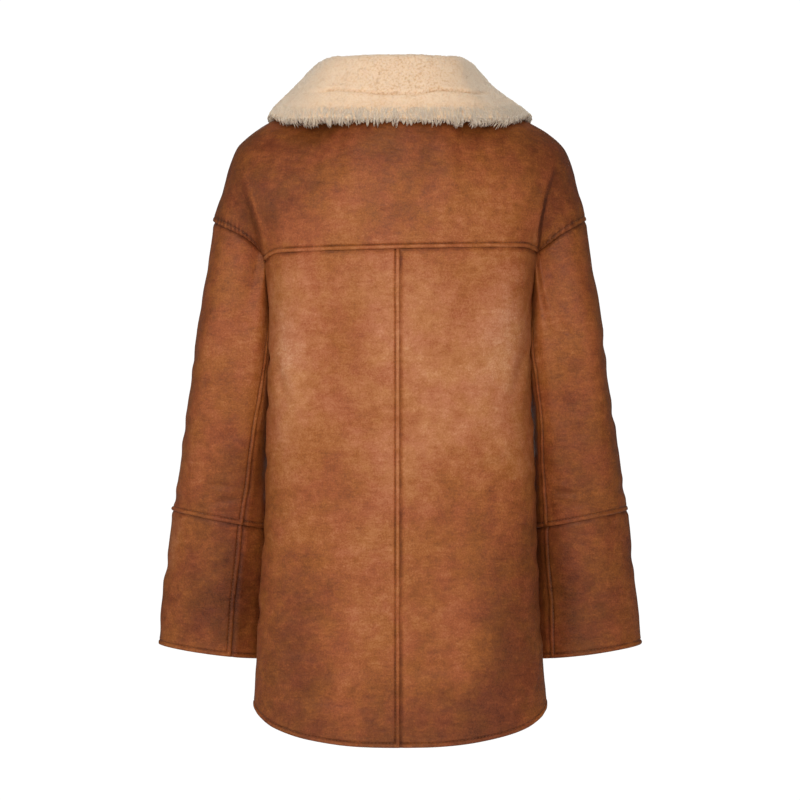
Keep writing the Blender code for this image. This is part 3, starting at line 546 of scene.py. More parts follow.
# Creases of each sleeve: how far round it from the outside towards the back, how high, and then as above.
SLEEVE_CREASES = {
    "left": (
        # across the back, above the elbow and below it
        (96, -457, -5, 27, 4, 1.3), (100, -476, 8, 27, 4, 1.2), (78, -466, 16, 16, 4, 0.7),
        (118, -443, -12, 18, 5, 0.8), (60, -430, 10, 24, 7, 0.7), (104, -398, 14, 26, 8, 0.6),
        (112, -262, -38, 26, 7, 1), (84, -286, -30, 30, 8, 0.9), (120, -318, -22, 24, 8, 0.7),
        (92, -560, 6, 30, 8, 0.6), (70, -612, -4, 26, 9, 0.6),
        # across the outside
        (20, -300, 12, 36, 10, 1), (8, -390, -9, 34, 9, 0.9), (14, -474, 7, 36, 7, 1.2),
        (2, -560, -5, 38, 10, 0.8),
        # across the front, at the bend of the elbow
        (-92, -290, 26, 34, 9, 1.3), (-84, -352, 14, 36, 8, 1.4), (-100, -404, -8, 34, 8, 1.6),
        (-88, -438, 10, 38, 7, 1.8), (-96, -470, -6, 32, 7, 1.5), (-82, -560, 5, 34, 9, 1),
        (-98, -612, -4, 30, 9, 0.8),
        # across the inside
        (182, -300, 8, 30, 9, 1.2), (186, -400, -10, 30, 8, 1.1), (180, -470, 6, 28, 8, 1.2),
    ),
    "right": (
        (113, -466, 4, 26, 4, 1.1), (98, -480, -9, 20, 4, 0.7), (122, -448, 10, 18, 5, 0.7),
        (70, -440, -12, 26, 7, 0.8), (88, -392, -16, 28, 8, 0.7), (110, -354, 12, 22, 8, 0.6),
        (104, -268, 34, 28, 7, 1), (78, -300, 26, 30, 8, 0.8), (100, -548, -5, 30, 8, 0.6),
        (76, -600, 6, 28, 9, 0.6), (16, -286, -14, 34, 10, 1.1), (6, -372, 10, 36, 9, 0.9),
        (18, -462, -6, 34, 7, 1.1), (4, -548, 4, 36, 10, 0.8), (-90, -282, -24, 36, 9, 1.4),
        (-86, -344, -12, 34, 8, 1.3), (-98, -396, 9, 36, 8, 1.5), (-86, -432, -9, 36, 7, 1.9),
        (-98, -462, 7, 34, 7, 1.4), (-84, -552, -6, 36, 9, 1), (-94, -606, 3, 30, 9, 0.9),
        (184, -310, -9, 30, 9, 1.2), (180, -412, 8, 32, 8, 1.1), (186, -476, -5, 28, 8, 1.1),
    ),
}
# Soft unevenness: the height and the size of each set of waves, its seed and the number of its waves.
BODY_WAVES = ((0.8, 120.0, 11, 8), (0.35, 42.0, 12, 8), (0.12, 15.0, 13, 12))
SLEEVE_WAVES = ((0.8, 110.0, 21, 8), (0.35, 38.0, 22, 8), (0.12, 15.0, 23, 12))
SLEEVE_WAVES_START = 0.25
PUCKER_WAVES = ((0.25, 13.0, 31, 8),)
# The next waves and level vary the painted shade and highlight along the edges, and their wear.
SHADE_AND_WEAR_WAVES = ((0.4, 30.0, 33, 8),)
USUAL_SHADE_AND_WEAR = 0.85

# Gathers along each dropped shoulder seam, by place down the seam: half their width and their depth.
GATHERS = {
    "left": (
        (0.1, 0.022, 0.5), (0.17, 0.02, 0.7), (0.24, 0.022, 1), (0.3, 0.018, 0.9), (0.352, 0.018, 1.2),
        (0.403, 0.016, 1), (0.45, 0.018, 1.4), (0.505, 0.017, 1.1), (0.552, 0.018, 1.3), (0.605, 0.02, 1),
        (0.66, 0.022, 1.1), (0.72, 0.024, 0.8), (0.8, 0.03, 0.6), (0.89, 0.035, 0.5),
    ),
    "right": (
        (0.1, 0.03, 0.4), (0.21, 0.028, 0.5), (0.31, 0.026, 0.7), (0.4, 0.024, 0.6), (0.485, 0.022, 0.8),
        (0.57, 0.024, 0.9), (0.66, 0.026, 1), (0.75, 0.03, 0.7), (0.86, 0.035, 0.4),
    ),
}
# How far they reach from the seam, how low they start there, how they lean, and the hollows between them.
GATHER_REACH = 17.0
GATHER_START = 4.0
GATHER_START_SHARE = 0.35
GATHER_LEAN = 0.0025
GATHER_HOLLOW = 0.45
GATHER_HOLLOW_SPREAD = 4.84
# How strongly the gathers' rises are painted lighter and their hollows darker: painted light and shade.
GATHER_PAINTED_SHADING = 1.7
# The band along those seams: how dark it is at these distances from the seam, as painted shade in the seam and
# the stitch groove.
SHOULDER_BAND_PAINTED_SHADE = ((0, -0.7), (1, -0.1), (2.4, -0.15), (5, -0.55), (7, -0.9), (8.6, -0.4), (11, 0))
SHOULDER_BAND_SHADE_SHARE = {"left": 0.95, "right": 0.6}


def shares(count):
    """Even shares strictly between 0 and 1."""
    return (np.arange(count) + 1.0) / (count + 1)


def edge_lines(track, start, way):
    """The places of the lines next to an edge, which the track leaves and follows half the way across."""
    steps = np.linspace(0.0, 0.5, len(track))
    length = run_lengths(track)
    found = np.array([np.interp(EDGE_LINES, length[:, i], steps) for i in range(track.shape[1])]).T
    return start + way * found


def crowded_shares(width):
    """Shares strictly between 0 and 1 for the yoke's width, closer together near both its ends."""
    near = np.linspace(0.0, YOKE_CROWDED, int(width * YOKE_CROWDED / YOKE_CROWDED_CELL))
    wide = width * (1.0 - 2 * YOKE_CROWDED)
    far = np.linspace(YOKE_CROWDED, 1.0 - YOKE_CROWDED, int(wide / (YOKE_CELL * YOKE_SPACING)))
    return np.concatenate([near[1:], far[1:-1], 1.0 - near[:0:-1]])


def panel_places(surface, low, cell):
    """The places of a panel's points: lines at set distances from its edges, and even ones between them."""
    steps = np.linspace(0.0, 0.5, TRACK_STEPS)[:, None]
    width, height = panel_size(surface, low)
    inside = 2 * EDGE_LINES[-1]
    v_inside = shares(max(2, int((height - inside) / cell)))[:, None]
    u_inside = shares(max(2, int((width - inside) / cell)))[:, None]
    if cell == YOKE_CELL:
        u_inside = crowded_shares(width)[:, None]
    border = np.zeros(len(EDGE_LINES))
    vs = np.concatenate([border, v_inside[:, 0], border + 1.0])
    vs = np.clip(vs, END_CLEAR, 1.0 - END_CLEAR)[None, :] + 0 * steps
    first = edge_lines(surface(low + steps + 0 * vs, vs), low, 1)
    last = edge_lines(surface(1.0 - steps + 0 * vs, vs), 1.0, -1)[::-1]
    u = np.concatenate([first, first[-1] + u_inside * (last[0] - first[-1]), last])
    us = u[:, u.shape[1] // 2][None, :] + 0 * steps
    top = edge_lines(surface(us, steps + 0 * us), 0.0, 1)
    end = edge_lines(surface(us, 1.0 - steps + 0 * us), 1.0, -1)[::-1]
    return u, np.concatenate([top, top[-1] + v_inside * (end[0] - top[-1]), end]).T


def panel_size(surface, low):
    """The panel's widest width and its longest height, along the surface."""
    u, v = np.meshgrid(np.linspace(low, 1.0, 41), np.linspace(0.0, 1.0, 41), indexing="ij")
    points = surface(u, v)
    width = np.linalg.norm(np.diff(points, axis=0), axis=-1).sum(axis=0)
    height = np.linalg.norm(np.diff(points, axis=1), axis=-1).sum(axis=1)
    return width.max(), height.max()


def grid_normals(points, centre=None):
    """The normals of a grid of points, turned away from the centre where one is given."""
    n = unit(np.cross(np.gradient(points, axis=0), np.gradient(points, axis=1)))
    if centre is None:
        return n
    middle = points.shape[0] // 2, points.shape[1] // 2
    return -n if np.dot(n[middle], points[middle] - centre) < 0 else n


def waves(points, size, seed, count=8):
    """Soft, uneven waves of about this size through space, mostly between -1 and 1."""
    rng = np.random.default_rng(seed)
    total = np.zeros(points.shape[:-1])
    for _ in range(count):
        direction = rng.normal(size=3)
        direction *= 2 * np.pi / (size * rng.uniform(0.7, 1.6) * np.linalg.norm(direction))
        total += np.sin(points @ direction + rng.uniform(0.0, 2 * np.pi))
    return total / count**0.5


def unevenness(points, rows):
    """The sum of some sets of waves."""
    return sum(height * waves(points, size, seed, count) for height, size, seed, count in rows)


def profile(distance, rows):
    """The value, at each distance, of a line through the rows."""
    distances, values = np.array(rows).T
    return np.interp(distance, distances, values)


def creased(across, up, rows):
    """How far creases move the cloth: each is a trough between two softer ridges, fading at both its ends."""
    moved = np.zeros(across.shape)
    for place, height, lean, half_length, width, depth in rows:
        lean = np.radians(lean)
        along = (across - place) * np.cos(lean) + (up - height) * np.sin(lean)
        off = (up - height) * np.cos(lean) - (across - place) * np.sin(lean)
        near = (off + CREASE_BEND * half_length * (along / half_length) ** 2) / width
        ridges = np.exp(-((np.abs(near) - CREASE_RIDGE_AWAY) ** 2) / CREASE_RIDGE_SPREAD)
        trough = np.exp(-(near**2)) - CREASE_RIDGE * ridges
        moved -= CREASE_DEPTH * depth * trough * ease(1.0 - np.abs(along) / half_length)
    return moved


def round_the_body(points):
    """How far round the body each point lies from the centre back, along its girth at the waist."""
    angle = np.linspace(0.0, np.pi, 181)
    ring = body_ring(angle, np.full_like(angle, WAIST_Z))
    bearing = np.arctan2(ring[:, 0], ring[:, 1])
    found = np.interp(np.arctan2(np.abs(points[..., 0]), points[..., 1]), bearing, run_lengths(ring))
    return np.sign(points[..., 0]) * found


def body_form(points, _):
    """The body's creases and soft unevenness, which don't depend on the place in the panel."""
    moved = creased(round_the_body(points), points[..., 2], BODY_CREASES)
    return moved + unevenness(points, BODY_WAVES)


def seam_distances(points):
    """How far along the cloth each point of the yoke is from its right and from its left shoulder seam."""
    length = run_lengths(points)
    return (("right", length), ("left", length[-1] - length))


def gathered(points, v):
    """The gathers along the yoke's two dropped shoulder seams."""
    moved = np.zeros(v.shape)
    for name, from_edge in seam_distances(points):
        rise = GATHER_START_SHARE + (1.0 - GATHER_START_SHARE) * ease(from_edge / GATHER_START)
        reach = ease((GATHER_REACH - from_edge) / GATHER_REACH) * rise
        for place, half_width, depth in GATHERS[name]:
            near = ((v - (place - GATHER_LEAN * from_edge)) / half_width) ** 2
            hollow = GATHER_HOLLOW * np.exp(-near / GATHER_HOLLOW_SPREAD)
            moved += depth * reach * (np.exp(-near) - hollow)
    return moved


def yoke_form(points, v):
    """The yoke's creases, unevenness and gathers."""
    return body_form(points, v) + gathered(points, v)


def yoke_painted_shading(points, v):
    """The yoke's painted light and shade along its shoulder seams, in its gathers and along its folds."""
    tone = fold_painted_light_and_shade(points) + GATHER_PAINTED_SHADING * gathered(points, v)
    for name, from_edge in seam_distances(points):
        tone += profile(from_edge, SHOULDER_BAND_PAINTED_SHADE) * SHOULDER_BAND_SHADE_SHARE[name]
    return tone


def sleeve_form(side, points, level):
    """The creases and soft unevenness of a sleeve."""
    name = "left" if side > 0 else "right"
    size = smooth([-z for z in SLEEVE_Z], SLEEVE_SIZES, -points[..., 2])
    back = (points[..., 1] - size[..., 1]) / size[..., 3]
    out = (points[..., 0] * side - size[..., 0]) / size[..., 2]
    moved = creased(np.arctan2(back, out) * SLEEVE_RADIUS, points[..., 2], SLEEVE_CREASES[name])
    return (moved + unevenness(points, SLEEVE_WAVES)) * ease(level / SLEEVE_WAVES_START)


def quick_mesh(name, points, quads, triangles, materials, slots=None):
    """A mesh object from arrays of points in millimetres and of faces."""
    mesh = bpy.data.meshes.new(name)
    corners = np.concatenate([quads.ravel(), triangles.ravel()]).astype(np.int32)
    first_triangle = len(quads) * 4
    starts = np.concatenate([np.arange(len(quads)) * 4, first_triangle + np.arange(len(triangles)) * 3])
    mesh.vertices.add(len(points))
    mesh.vertices.foreach_set("co", (points * 0.001).astype(np.float32).ravel())
    mesh.loops.add(len(corners))
    mesh.loops.foreach_set("vertex_index", corners)
    mesh.polygons.add(len(starts))
    mesh.polygons.foreach_set("loop_start", starts.astype(np.int32))
    for material in materials:
        mesh.materials.append(material)
    if slots is not None:
        mesh.polygons.foreach_set("material_index", slots.astype(np.int32))
    mesh.update(calc_edges=True)
    mesh.validate()
    mesh.shade_smooth()
    obj = bpy.data.objects.new(name, mesh)
    bpy.context.scene.collection.objects.link(obj)
    return obj


def signed_volume(points, quads):
    a, b, c, d = (points[quads[:, i]] for i in range(4))
    return np.sum(np.cross(a, b) * c) + np.sum(np.cross(a, c) * d)


def grid_quads(rows, columns):
    i, j = np.meshgrid(np.arange(rows - 1), np.arange(columns - 1), indexing="ij")
    a = (i * columns + j).ravel()
    return np.stack([a, a + columns, a + columns + 1, a + 1], axis=1)


def closed_rings(rings, sides):
    """The quads between the rings of a tube, and the triangles that close both its ends."""
    i, j = np.meshgrid(np.arange(rings - 1), np.arange(sides), indexing="ij")
    a, b = i * sides + j, i * sides + (j + 1) % sides
    quads = np.stack([a, a + sides, b + sides, b], axis=-1).reshape(-1, 4)
    j = np.arange(1, sides - 1)
    cap = np.stack([0 * j, j, j + 1], axis=-1)
    return quads, np.concatenate([cap, (rings - 1) * sides + cap[:, ::-1]])


def outward_mesh(name, points, quads, triangles, materials):
    """A closed mesh whose faces are turned outwards."""
    if signed_volume(points, quads) < 0:
        quads, triangles = quads[:, ::-1], triangles[:, ::-1]
    return quick_mesh(name, points, quads, triangles, materials)


def add_attribute(obj, name, values):
    layer = obj.data.attributes.new(name, "FLOAT", "POINT")
    layer.data.foreach_set("value", values.astype(np.float32).ravel())


def spread_out(count):
    """The lines kept on a shell's inner face: the first, the last and one in every few between them."""
    return np.unique(np.concatenate([np.arange(0, count - 2, INNER_STEP), [count - 1]]))


def grid_border(rows, columns):
    """The rows and columns of a grid's border, once round."""
    i, j = np.arange(rows), np.arange(columns)
    across = np.concatenate([i, 0 * j[1:] + rows - 1, i[-2::-1], 0 * j[1:-1]])
    along = np.concatenate([0 * i, j[1:], 0 * i[1:] + columns - 1, j[-2:0:-1]])
    return across, along


def edge_strip(rows, columns, kept_rows, kept_columns):
    """The triangles round a shell's edge, from each point of its outer border to the nearest kept inner one."""
    i, j = grid_border(rows, columns)
    near_row = np.searchsorted(kept_rows, i, side="right") - 1
    near_column = np.searchsorted(kept_columns, j, side="right") - 1
    border = i * columns + j
    inside = rows * columns + near_row * len(kept_columns) + near_column
    following, following_inside = np.roll(border, -1), np.roll(inside, -1)
    fans = np.stack([following, border, inside], axis=1)
    closing = np.stack([following, inside, following_inside], axis=1)
    return np.concatenate([fans, closing[inside != following_inside]])


def closed_shell(name, outer, inner, materials):
    """A closed shell between two grids of points, with the second material on its inner face alone.

    The inner face keeps only some of its lines. Their rows and columns come with the shell.
    """
    rows, columns = outer.shape[:2]
    kept_rows, kept_columns = spread_out(rows), spread_out(columns)
    kept = np.ix_(kept_rows, kept_columns)
    points = np.concatenate([outer.reshape(-1, 3), inner[kept].reshape(-1, 3)])
    face = grid_quads(rows, columns)
    back = grid_quads(len(kept_rows), len(kept_columns))[:, ::-1] + rows * columns
    quads = np.concatenate([face, back])
    triangles = edge_strip(rows, columns, kept_rows, kept_columns)
    slots = np.concatenate([np.zeros(len(face)), np.ones(len(back)), np.zeros(len(triangles))])
    if signed_volume(points, face) < 0:
        quads, triangles = quads[:, ::-1], triangles[:, ::-1]
    obj = quick_mesh(name, points, quads, triangles, materials, slots)
    obj.data.set_sharp_from_angle(angle=SHARP_FROM)
    return obj, kept


def edge_distances(shape, rims):
    """How far each point is from a lapped edge and from a tucked one, and the share of that lapped edge."""
    across, down = (np.full(count, FAR) for count in shape)
    across[: len(EDGE_LINES)] = EDGE_LINES
    down[: len(EDGE_LINES)] = EDGE_LINES
    sides = {
        "left": across[:, None],
        "right": across[::-1, None],
        "top": down[None],
        "bottom": down[None, ::-1],
    }
    rim, tuck, share = np.full(shape, FAR), np.full(shape, FAR), np.zeros(shape)
    for edge, distance in sides.items():
        if edge in rims:
            share = np.where(distance < rim, rims[edge], share)
            rim = np.minimum(rim, distance)
        else:
            tuck = np.minimum(tuck, distance)
    return rim, tuck, share


def tucked_under(base, rims):
    """The points with the outermost lines of each tucked edge pushed on beyond it, under the next panel."""
    found = base.copy()
    turned = found.swapaxes(0, 1)
    views = {"left": found, "right": found[::-1], "top": turned, "bottom": turned[::-1]}
    for edge, rows in views.items():
        if edge in rims:
            continue
        way = unit(rows[0] - rows[TUCK_LINES])
        for row, reach in enumerate(TUCK_REACH):
            rows[row] += way * reach
    return found


def make_shell(name, surface, centre, rims, form, materials, low=0.0, drop=None, cell=CELL):
    """A panel's shell and the stitches along its lapped edges."""
    u, v = panel_places(surface, low, cell)
    base = surface(u, v)
    n = grid_normals(base, centre)
    lowered = 0.0 if drop is None else drop(u)
    height = form(base, v) - lowered
    flat = 1.0 - lowered / UNDERLAP_DROP
    rim, tuck, share = edge_distances(u.shape, rims)
    pucker = share * (1.0 + unevenness(base, PUCKER_WAVES))
    raised = profile(rim, RIM) * flat * pucker + profile(tuck, TUCK)
    reaching = tucked_under(base, rims)
    outer = reaching + n * (height + raised)[..., None]
    inner = reaching + n * (height - SHELL)[..., None]
    shell, kept = closed_shell(name + "_leather", outer, inner, materials)
    # Painted shade and highlight along the edges, with their wear, and on the yoke its painted light and shade,
    # go into the seam attribute.
    tone = profile(rim, RIM_PAINTED_SHADE_AND_WEAR) * flat * share + profile(tuck, TUCK_PAINTED_SHADOW)
    tone = tone * (USUAL_SHADE_AND_WEAR + unevenness(base, SHADE_AND_WEAR_WAVES))
    if form is yoke_form:
        tone = tone + yoke_painted_shading(base, v)
    add_attribute(shell, "seam", np.concatenate([tone.ravel(), tone[kept].ravel()]))
    return shell, make_stitches(name, outer, n, rims, rim)


def stitched_lines(outer, n, rims, rim):
    """The lines that the stitches follow, as points and normals."""
    k = EDGE_LINES.index(STITCH_LINE)
    places = {"left": np.s_[k, :], "right": np.s_[-1 - k, :], "top": np.s_[:, k], "bottom": np.s_[:, -1 - k]}
    for edge, line in places.items():
        if edge in rims:
            keep = rim[line] >= STITCH_LINE - 0.01
            yield outer[line][keep], n[line][keep]


def at_lengths(at, length, rows):
    """The rows' values at these lengths."""
    return np.stack([np.interp(at, length, column) for column in rows.T], axis=-1)


def spaced(points, normals, pitch):
    """Points and normals at even distances along a line, with its direction there."""
    length = run_lengths(points)
    at = np.arange(pitch, length[-1] - pitch, pitch)
    place = at_lengths(at, length, points)
    ahead = at_lengths(at + 0.5, length, points)
    return place, unit(at_lengths(at, length, normals)), unit(ahead - place)


def tubes(centres, radii, ups, sides):
    """Many closed tubes at once. Centres are tubes by rings by 3, and radii are tubes by rings."""
    count, rings = centres.shape[:2]
    way = unit(np.gradient(centres, axis=1))
    first = unit(np.cross(way, ups))
    second = np.cross(way, first)
    turns = np.arange(sides) * 2 * np.pi / sides
    ring = first[:, :, None] * np.cos(turns)[:, None] + second[:, :, None] * np.sin(turns)[:, None]
    points = centres[:, :, None] + ring * radii[:, :, None, None]
    start = (np.arange(count) * rings * sides)[:, None, None]
    quads, fans = closed_rings(rings, sides)
    return points.reshape(-1, 3), (quads + start).reshape(-1, 4), (fans + start).reshape(-1, 3)


def make_stitches(name, outer, n, rims, rim):
    """The topstitching of a panel: one small curved thread for each stitch."""
    centres, ups = [], []
    along = np.array(STITCH_ALONG)[:, None] * STITCH_LENGTH
    rise = np.array(STITCH_RISE)[:, None]
    for points, normals in stitched_lines(outer, n, rims, rim):
        place, up, way = (rows[:, None] for rows in spaced(points, normals, STITCH_PITCH))
        centres.append(place + way * along + up * rise)
        ups.append(np.repeat(up, len(along), axis=1))
    centres, ups = np.concatenate(centres), np.concatenate(ups)
    radii = np.tile(np.array(STITCH_TAPER) * STITCH_RADIUS, (len(centres), 1))
    return quick_mesh(name + "_stitches", *tubes(centres, radii, ups, 4), [THREAD])


# How far inside the solid the collar's skin lies, which the pile stands on.
PILE_DEPTH = 0.9
# The skin is one loop of points for each place round the neck. Its hidden face, between the stand and the
# fall, runs from the neck seam (0) to the edge of the fall (42). The rounded edge follows (43 to 47), and the
# visible face runs on (48) up the fall, over the roll and down the inside of the neck to the seam (132).
COLLAR_PLACES = 441
COLLAR_LINES = 85
EDGE_TURNS = np.linspace(0.0, np.pi, 7)[1:-1]
EDGE_FULLNESS = 0.8
# The outside of the fall, from its edge up to the roll.
FALL_COLUMNS = (43, 100)
# The stretches that carry locks.
UPPER_COLUMNS = np.s_[130:48:-1]
FRINGE_COLUMNS = np.s_[56:40:-1]
INNER_COLUMNS = np.s_[10:42]
STAND_COLUMNS = np.s_[0:11]
WHOLE_COLUMNS = np.s_[132:0:-1]
END_ROWS = 7
SKIN_WAVES = ((0.16, 6.5, 41, 16), (0.15, 16.0, 42, 10), (0.3, 50.0, 43, 8))
# The soft crease across the back of the fall: its waves, where and how softly it starts to fade out to the
# right and to the left, how much of it stays bare of locks, how far out its height changes, and its size.
CREASE_WAVES = ((0.8, 30.0, 44, 8),)
CREASE_RIGHT = (-110.0, 15.0)
CREASE_LEFT = (118.0, 50.0)
CREASE_BARE = 0.35
COLLAR_CREASE_HALF_X = 75.0
COLLAR_CREASE_Z = (7.0, 13.0)
COLLAR_CREASE_WIDTH = 1.6
COLLAR_CREASE_DEPTH = 2.6
# How light the skin is where no lock covers it, with painted shade deep in the pile, and how much more painted
# shade it takes in the crease and towards the lower edge.
SKIN_TIP = 0.5
CREASE_PAINTED_SHADE = 0.7
LOW_EDGE_PAINTED_SHADE = 0.4
LOW_EDGE = (2.0, 14.0)
# The curly middle of the back: its place and width, its lower end and how softly it starts there.
CURLY_X = (-8.0, 62.0)
CURLY_Z = (-2.0, 14.0)
CURLY_LEAST = 0.5
CURLY_FRONT = 0.3

CLUMP_SPACING = 3.6
CLUMP_WAVES = 17.0
CLUMP_WANDER = 0.35
# The locks: how thick their rings are, and the range of each size that is drawn for them.
LOCK_SHAPE = (1.0, 0.85, 0.35)
LOCK_LENGTHS = (0.7, 1.25)
LOCK_BENDS = (1.3, 2.6)
LOCK_THICKNESSES = (0.75, 1.25)
LOCK_LEAN = 0.6
LOCK_SWAY = 0.22
LOCK_CURLED = 0.3
LOCK_ROOT = 0.5
# The fringe's locks are drawn together into tufts of uneven length.
LONG_LOCK_SHAPE = (1.0, 1.0, 0.75, 0.3)
LONG_LOCK_LENGTHS = (0.75, 1.1)
LONG_LOCK_ROOT = 0.6
# The level at the fringe's roots of the painted shade that darkens the pile towards its roots.
LONG_LOCK_ROOT_SHADE = 0.35
LONG_LOCK_LIFT = 1.1
LONG_LOCK_SPREAD = 0.4
TUFT_SPACING = 4.3
TUFT_WANDER = 0.5
TUFT_DRAWN = 0.7
TUFT_TURNED = 0.3
TUFT_LENGTHS = (0.45, 0.9)
FRONT_FRINGE = 0.45
FRONT_FRINGE_Y = 75.0
END_RADIUS = 6.5
END_TURNS = np.radians((20.0, 40.0, 60.0, 78.0))


def collar_section(places, across, inset):
    """The collar's hidden face, rounded edge and visible face, as one loop of points for each place.

    It comes with the point of the middle layer under each of them.
    """
    grid = collar_grid(places, across)
    n = -grid_normals(grid)
    half = smooth(COLLAR_HALF_ACROSS, COLLAR_HALF, across)[None, :, None] - inset
    last = grid[:, -1:]
    down = unit(last - grid[:, -2:-1])
    turns = EDGE_TURNS[None, :, None]
    edge = last + (n[:, -1:] * np.cos(turns) + EDGE_FULLNESS * down * np.sin(turns)) * half[0, -1, 0]
    loop = np.concatenate([(grid + n * half)[:, ::2], edge, (grid - n * half)[:, ::-1]], axis=1)
    middle = np.concatenate([grid[:, ::2], np.repeat(last, len(EDGE_TURNS), axis=1), grid[:, ::-1]], axis=1)
    return loop, middle


def rounded_ends(loop, middle):
    """The loops with a few more at both ends, which close in on the middle layer in an arc."""
    ends = []
    for last, before in ((0, 1), (-1, -2)):
        out = unit(middle[last] - middle[before]) * END_RADIUS
        off = loop[last] - middle[last]
        ends.append(np.array([middle[last] + off * np.cos(t) + out * np.sin(t) for t in END_TURNS]))
    return np.concatenate([ends[0][::-1], loop, ends[1]])


def skin_normals(loop):
    """The normals of the collar's skin, which look away from the middle of each loop."""
    around = np.roll(loop, -1, axis=1) - np.roll(loop, 1, axis=1)
    n = unit(np.cross(np.gradient(loop, axis=0), around))
    off = loop - loop.mean(axis=1, keepdims=True)
    return n * np.sign(np.sum(n * off, axis=(1, 2)))[:, None, None]


def collar_crease(points, outside):
    """Where the soft crease across the back of the fall lies: 1 along its middle and 0 away from it."""
    share = ease(np.abs(points[..., 0]) / COLLAR_CREASE_HALF_X)
    height = COLLAR_CREASE_Z[0] + (COLLAR_CREASE_Z[1] - COLLAR_CREASE_Z[0]) * share
    height = height + unevenness(points, CREASE_WAVES)
    right = ease((points[..., 0] - CREASE_RIGHT[0]) / CREASE_RIGHT[1])
    left = ease((CREASE_LEFT[0] - points[..., 0]) / CREASE_LEFT[1])
    return bell(points[..., 2] - height, COLLAR_CREASE_WIDTH) * right * left * outside


def make_collar_form(materials):
    """The soft skin that the pile stands on."""
    places = np.linspace(-1.0, 1.0, COLLAR_PLACES)
    across = np.linspace(0.0, 1.0, COLLAR_LINES)
    loop = rounded_ends(*collar_section(places, across, PILE_DEPTH))
    n = skin_normals(loop)
    column = np.arange(loop.shape[1])
    outside = (column > FALL_COLUMNS[0]) & (column < FALL_COLUMNS[1])
    sunk = collar_crease(loop, outside)
    loop = loop + n * (unevenness(loop, SKIN_WAVES) - COLLAR_CREASE_DEPTH * sunk)[..., None]
    points = loop.reshape(-1, 3)
    form = outward_mesh("collar_pile_form", points, *closed_rings(*loop.shape[:2]), materials)
    # Painted shade in the crease and towards the lower edge of the fall.
    low = ease((LOW_EDGE[0] - loop[..., 2]) / LOW_EDGE[1]) * outside
    add_attribute(form, "tip", SKIN_TIP - CREASE_PAINTED_SHADE * sunk - LOW_EDGE_PAINTED_SHADE * low)
    add_attribute(form, "curled", curled_share(points))
    return form, loop, n


def curled_share(points):
    """How curly the pile is: most in the middle of the back, and smoother towards the sides and the edge."""
    middle = bell(points[:, 0] - CURLY_X[0], CURLY_X[1]) * ease((points[:, 2] - CURLY_Z[0]) / CURLY_Z[1])
    return CURLY_LEAST + (1.0 - CURLY_LEAST) * np.where(points[:, 1] > 0, middle, CURLY_FRONT)


def scattered(loop, n, columns, spacing, rng):
    """Even but unruly places on a stretch of the collar's skin.

    They come with the ways out of it, down it and round the neck, and with how far round the neck they lie.
    """
    points = loop[:, columns]
    a, b = points[1:, :-1] - points[:-1, :-1], points[:-1, 1:] - points[:-1, :-1]
    wanted = np.linalg.norm(np.cross(a, b), axis=-1) / spacing**2
    count = np.floor(wanted + rng.random(wanted.shape)).astype(int)
    i, j = (np.repeat(cell, count[np.nonzero(count)]) for cell in np.nonzero(count))
    s, t = rng.random(len(i)), rng.random(len(i))
    near = points[i, j] * (1 - t)[:, None] + points[i, j + 1] * t[:, None]
    far = points[i + 1, j] * (1 - t)[:, None] + points[i + 1, j + 1] * t[:, None]
    place = near * (1 - s)[:, None] + far * s[:, None]
    up = n[:, columns][i, j]
    down = points[i, j + 1] - points[i, j]
    down = unit(down - up * np.sum(down * up, axis=-1, keepdims=True))
    across = np.cross(up, down)
    across *= np.sign(np.sum(across * (far - near), axis=-1, keepdims=True))
    length = run_lengths(points[:, points.shape[1] // 2])
    return place, up, down, across, length[i] + s * (length[i + 1] - length[i])


def hashed(values, seed):
    """An even scatter from 0 to 1 that is the same for the same value."""
    return np.mod(np.abs(np.sin(values * 12.9898 + seed) * 43758.5453), 1.0)


def clump_turns(place, seed):
    """The way the locks of each clump lean, as a turn."""
    wander = np.stack([waves(place, CLUMP_WAVES, seed + i) for i in range(3)], axis=-1)
    clump = np.round(place / CLUMP_SPACING + CLUMP_WANDER * wander)
    return 2 * np.pi * hashed(clump @ np.array([1.0, 6.07, 2.93]), seed)


def lock_mesh(name, centres, shape, thickness, ups, rng, root=0.0):
    """Many locks as one piece, which knows how near its tip each point is."""
    count, rings = centres.shape[:2]
    radii = thickness * rng.uniform(*LOCK_THICKNESSES, (count, 1)) * np.array(shape)
    ups = np.repeat(ups[:, None], rings, axis=1)
    points, quads, fans = tubes(centres, radii, ups, 3)
    obj = quick_mesh(name, points, quads, fans, [PILE])
    # The pile is painted darker towards its roots, as shade deep in the pile, from the root's value up to 1 at
    # the tip.
    tip = np.tile(np.linspace(root, 1.0, rings), (count, 1))
    add_attribute(obj, "tip", np.repeat(tip[..., None], 3, axis=-1))
    add_attribute(obj, "curled", LOCK_CURLED * curled_share(points))
    return obj


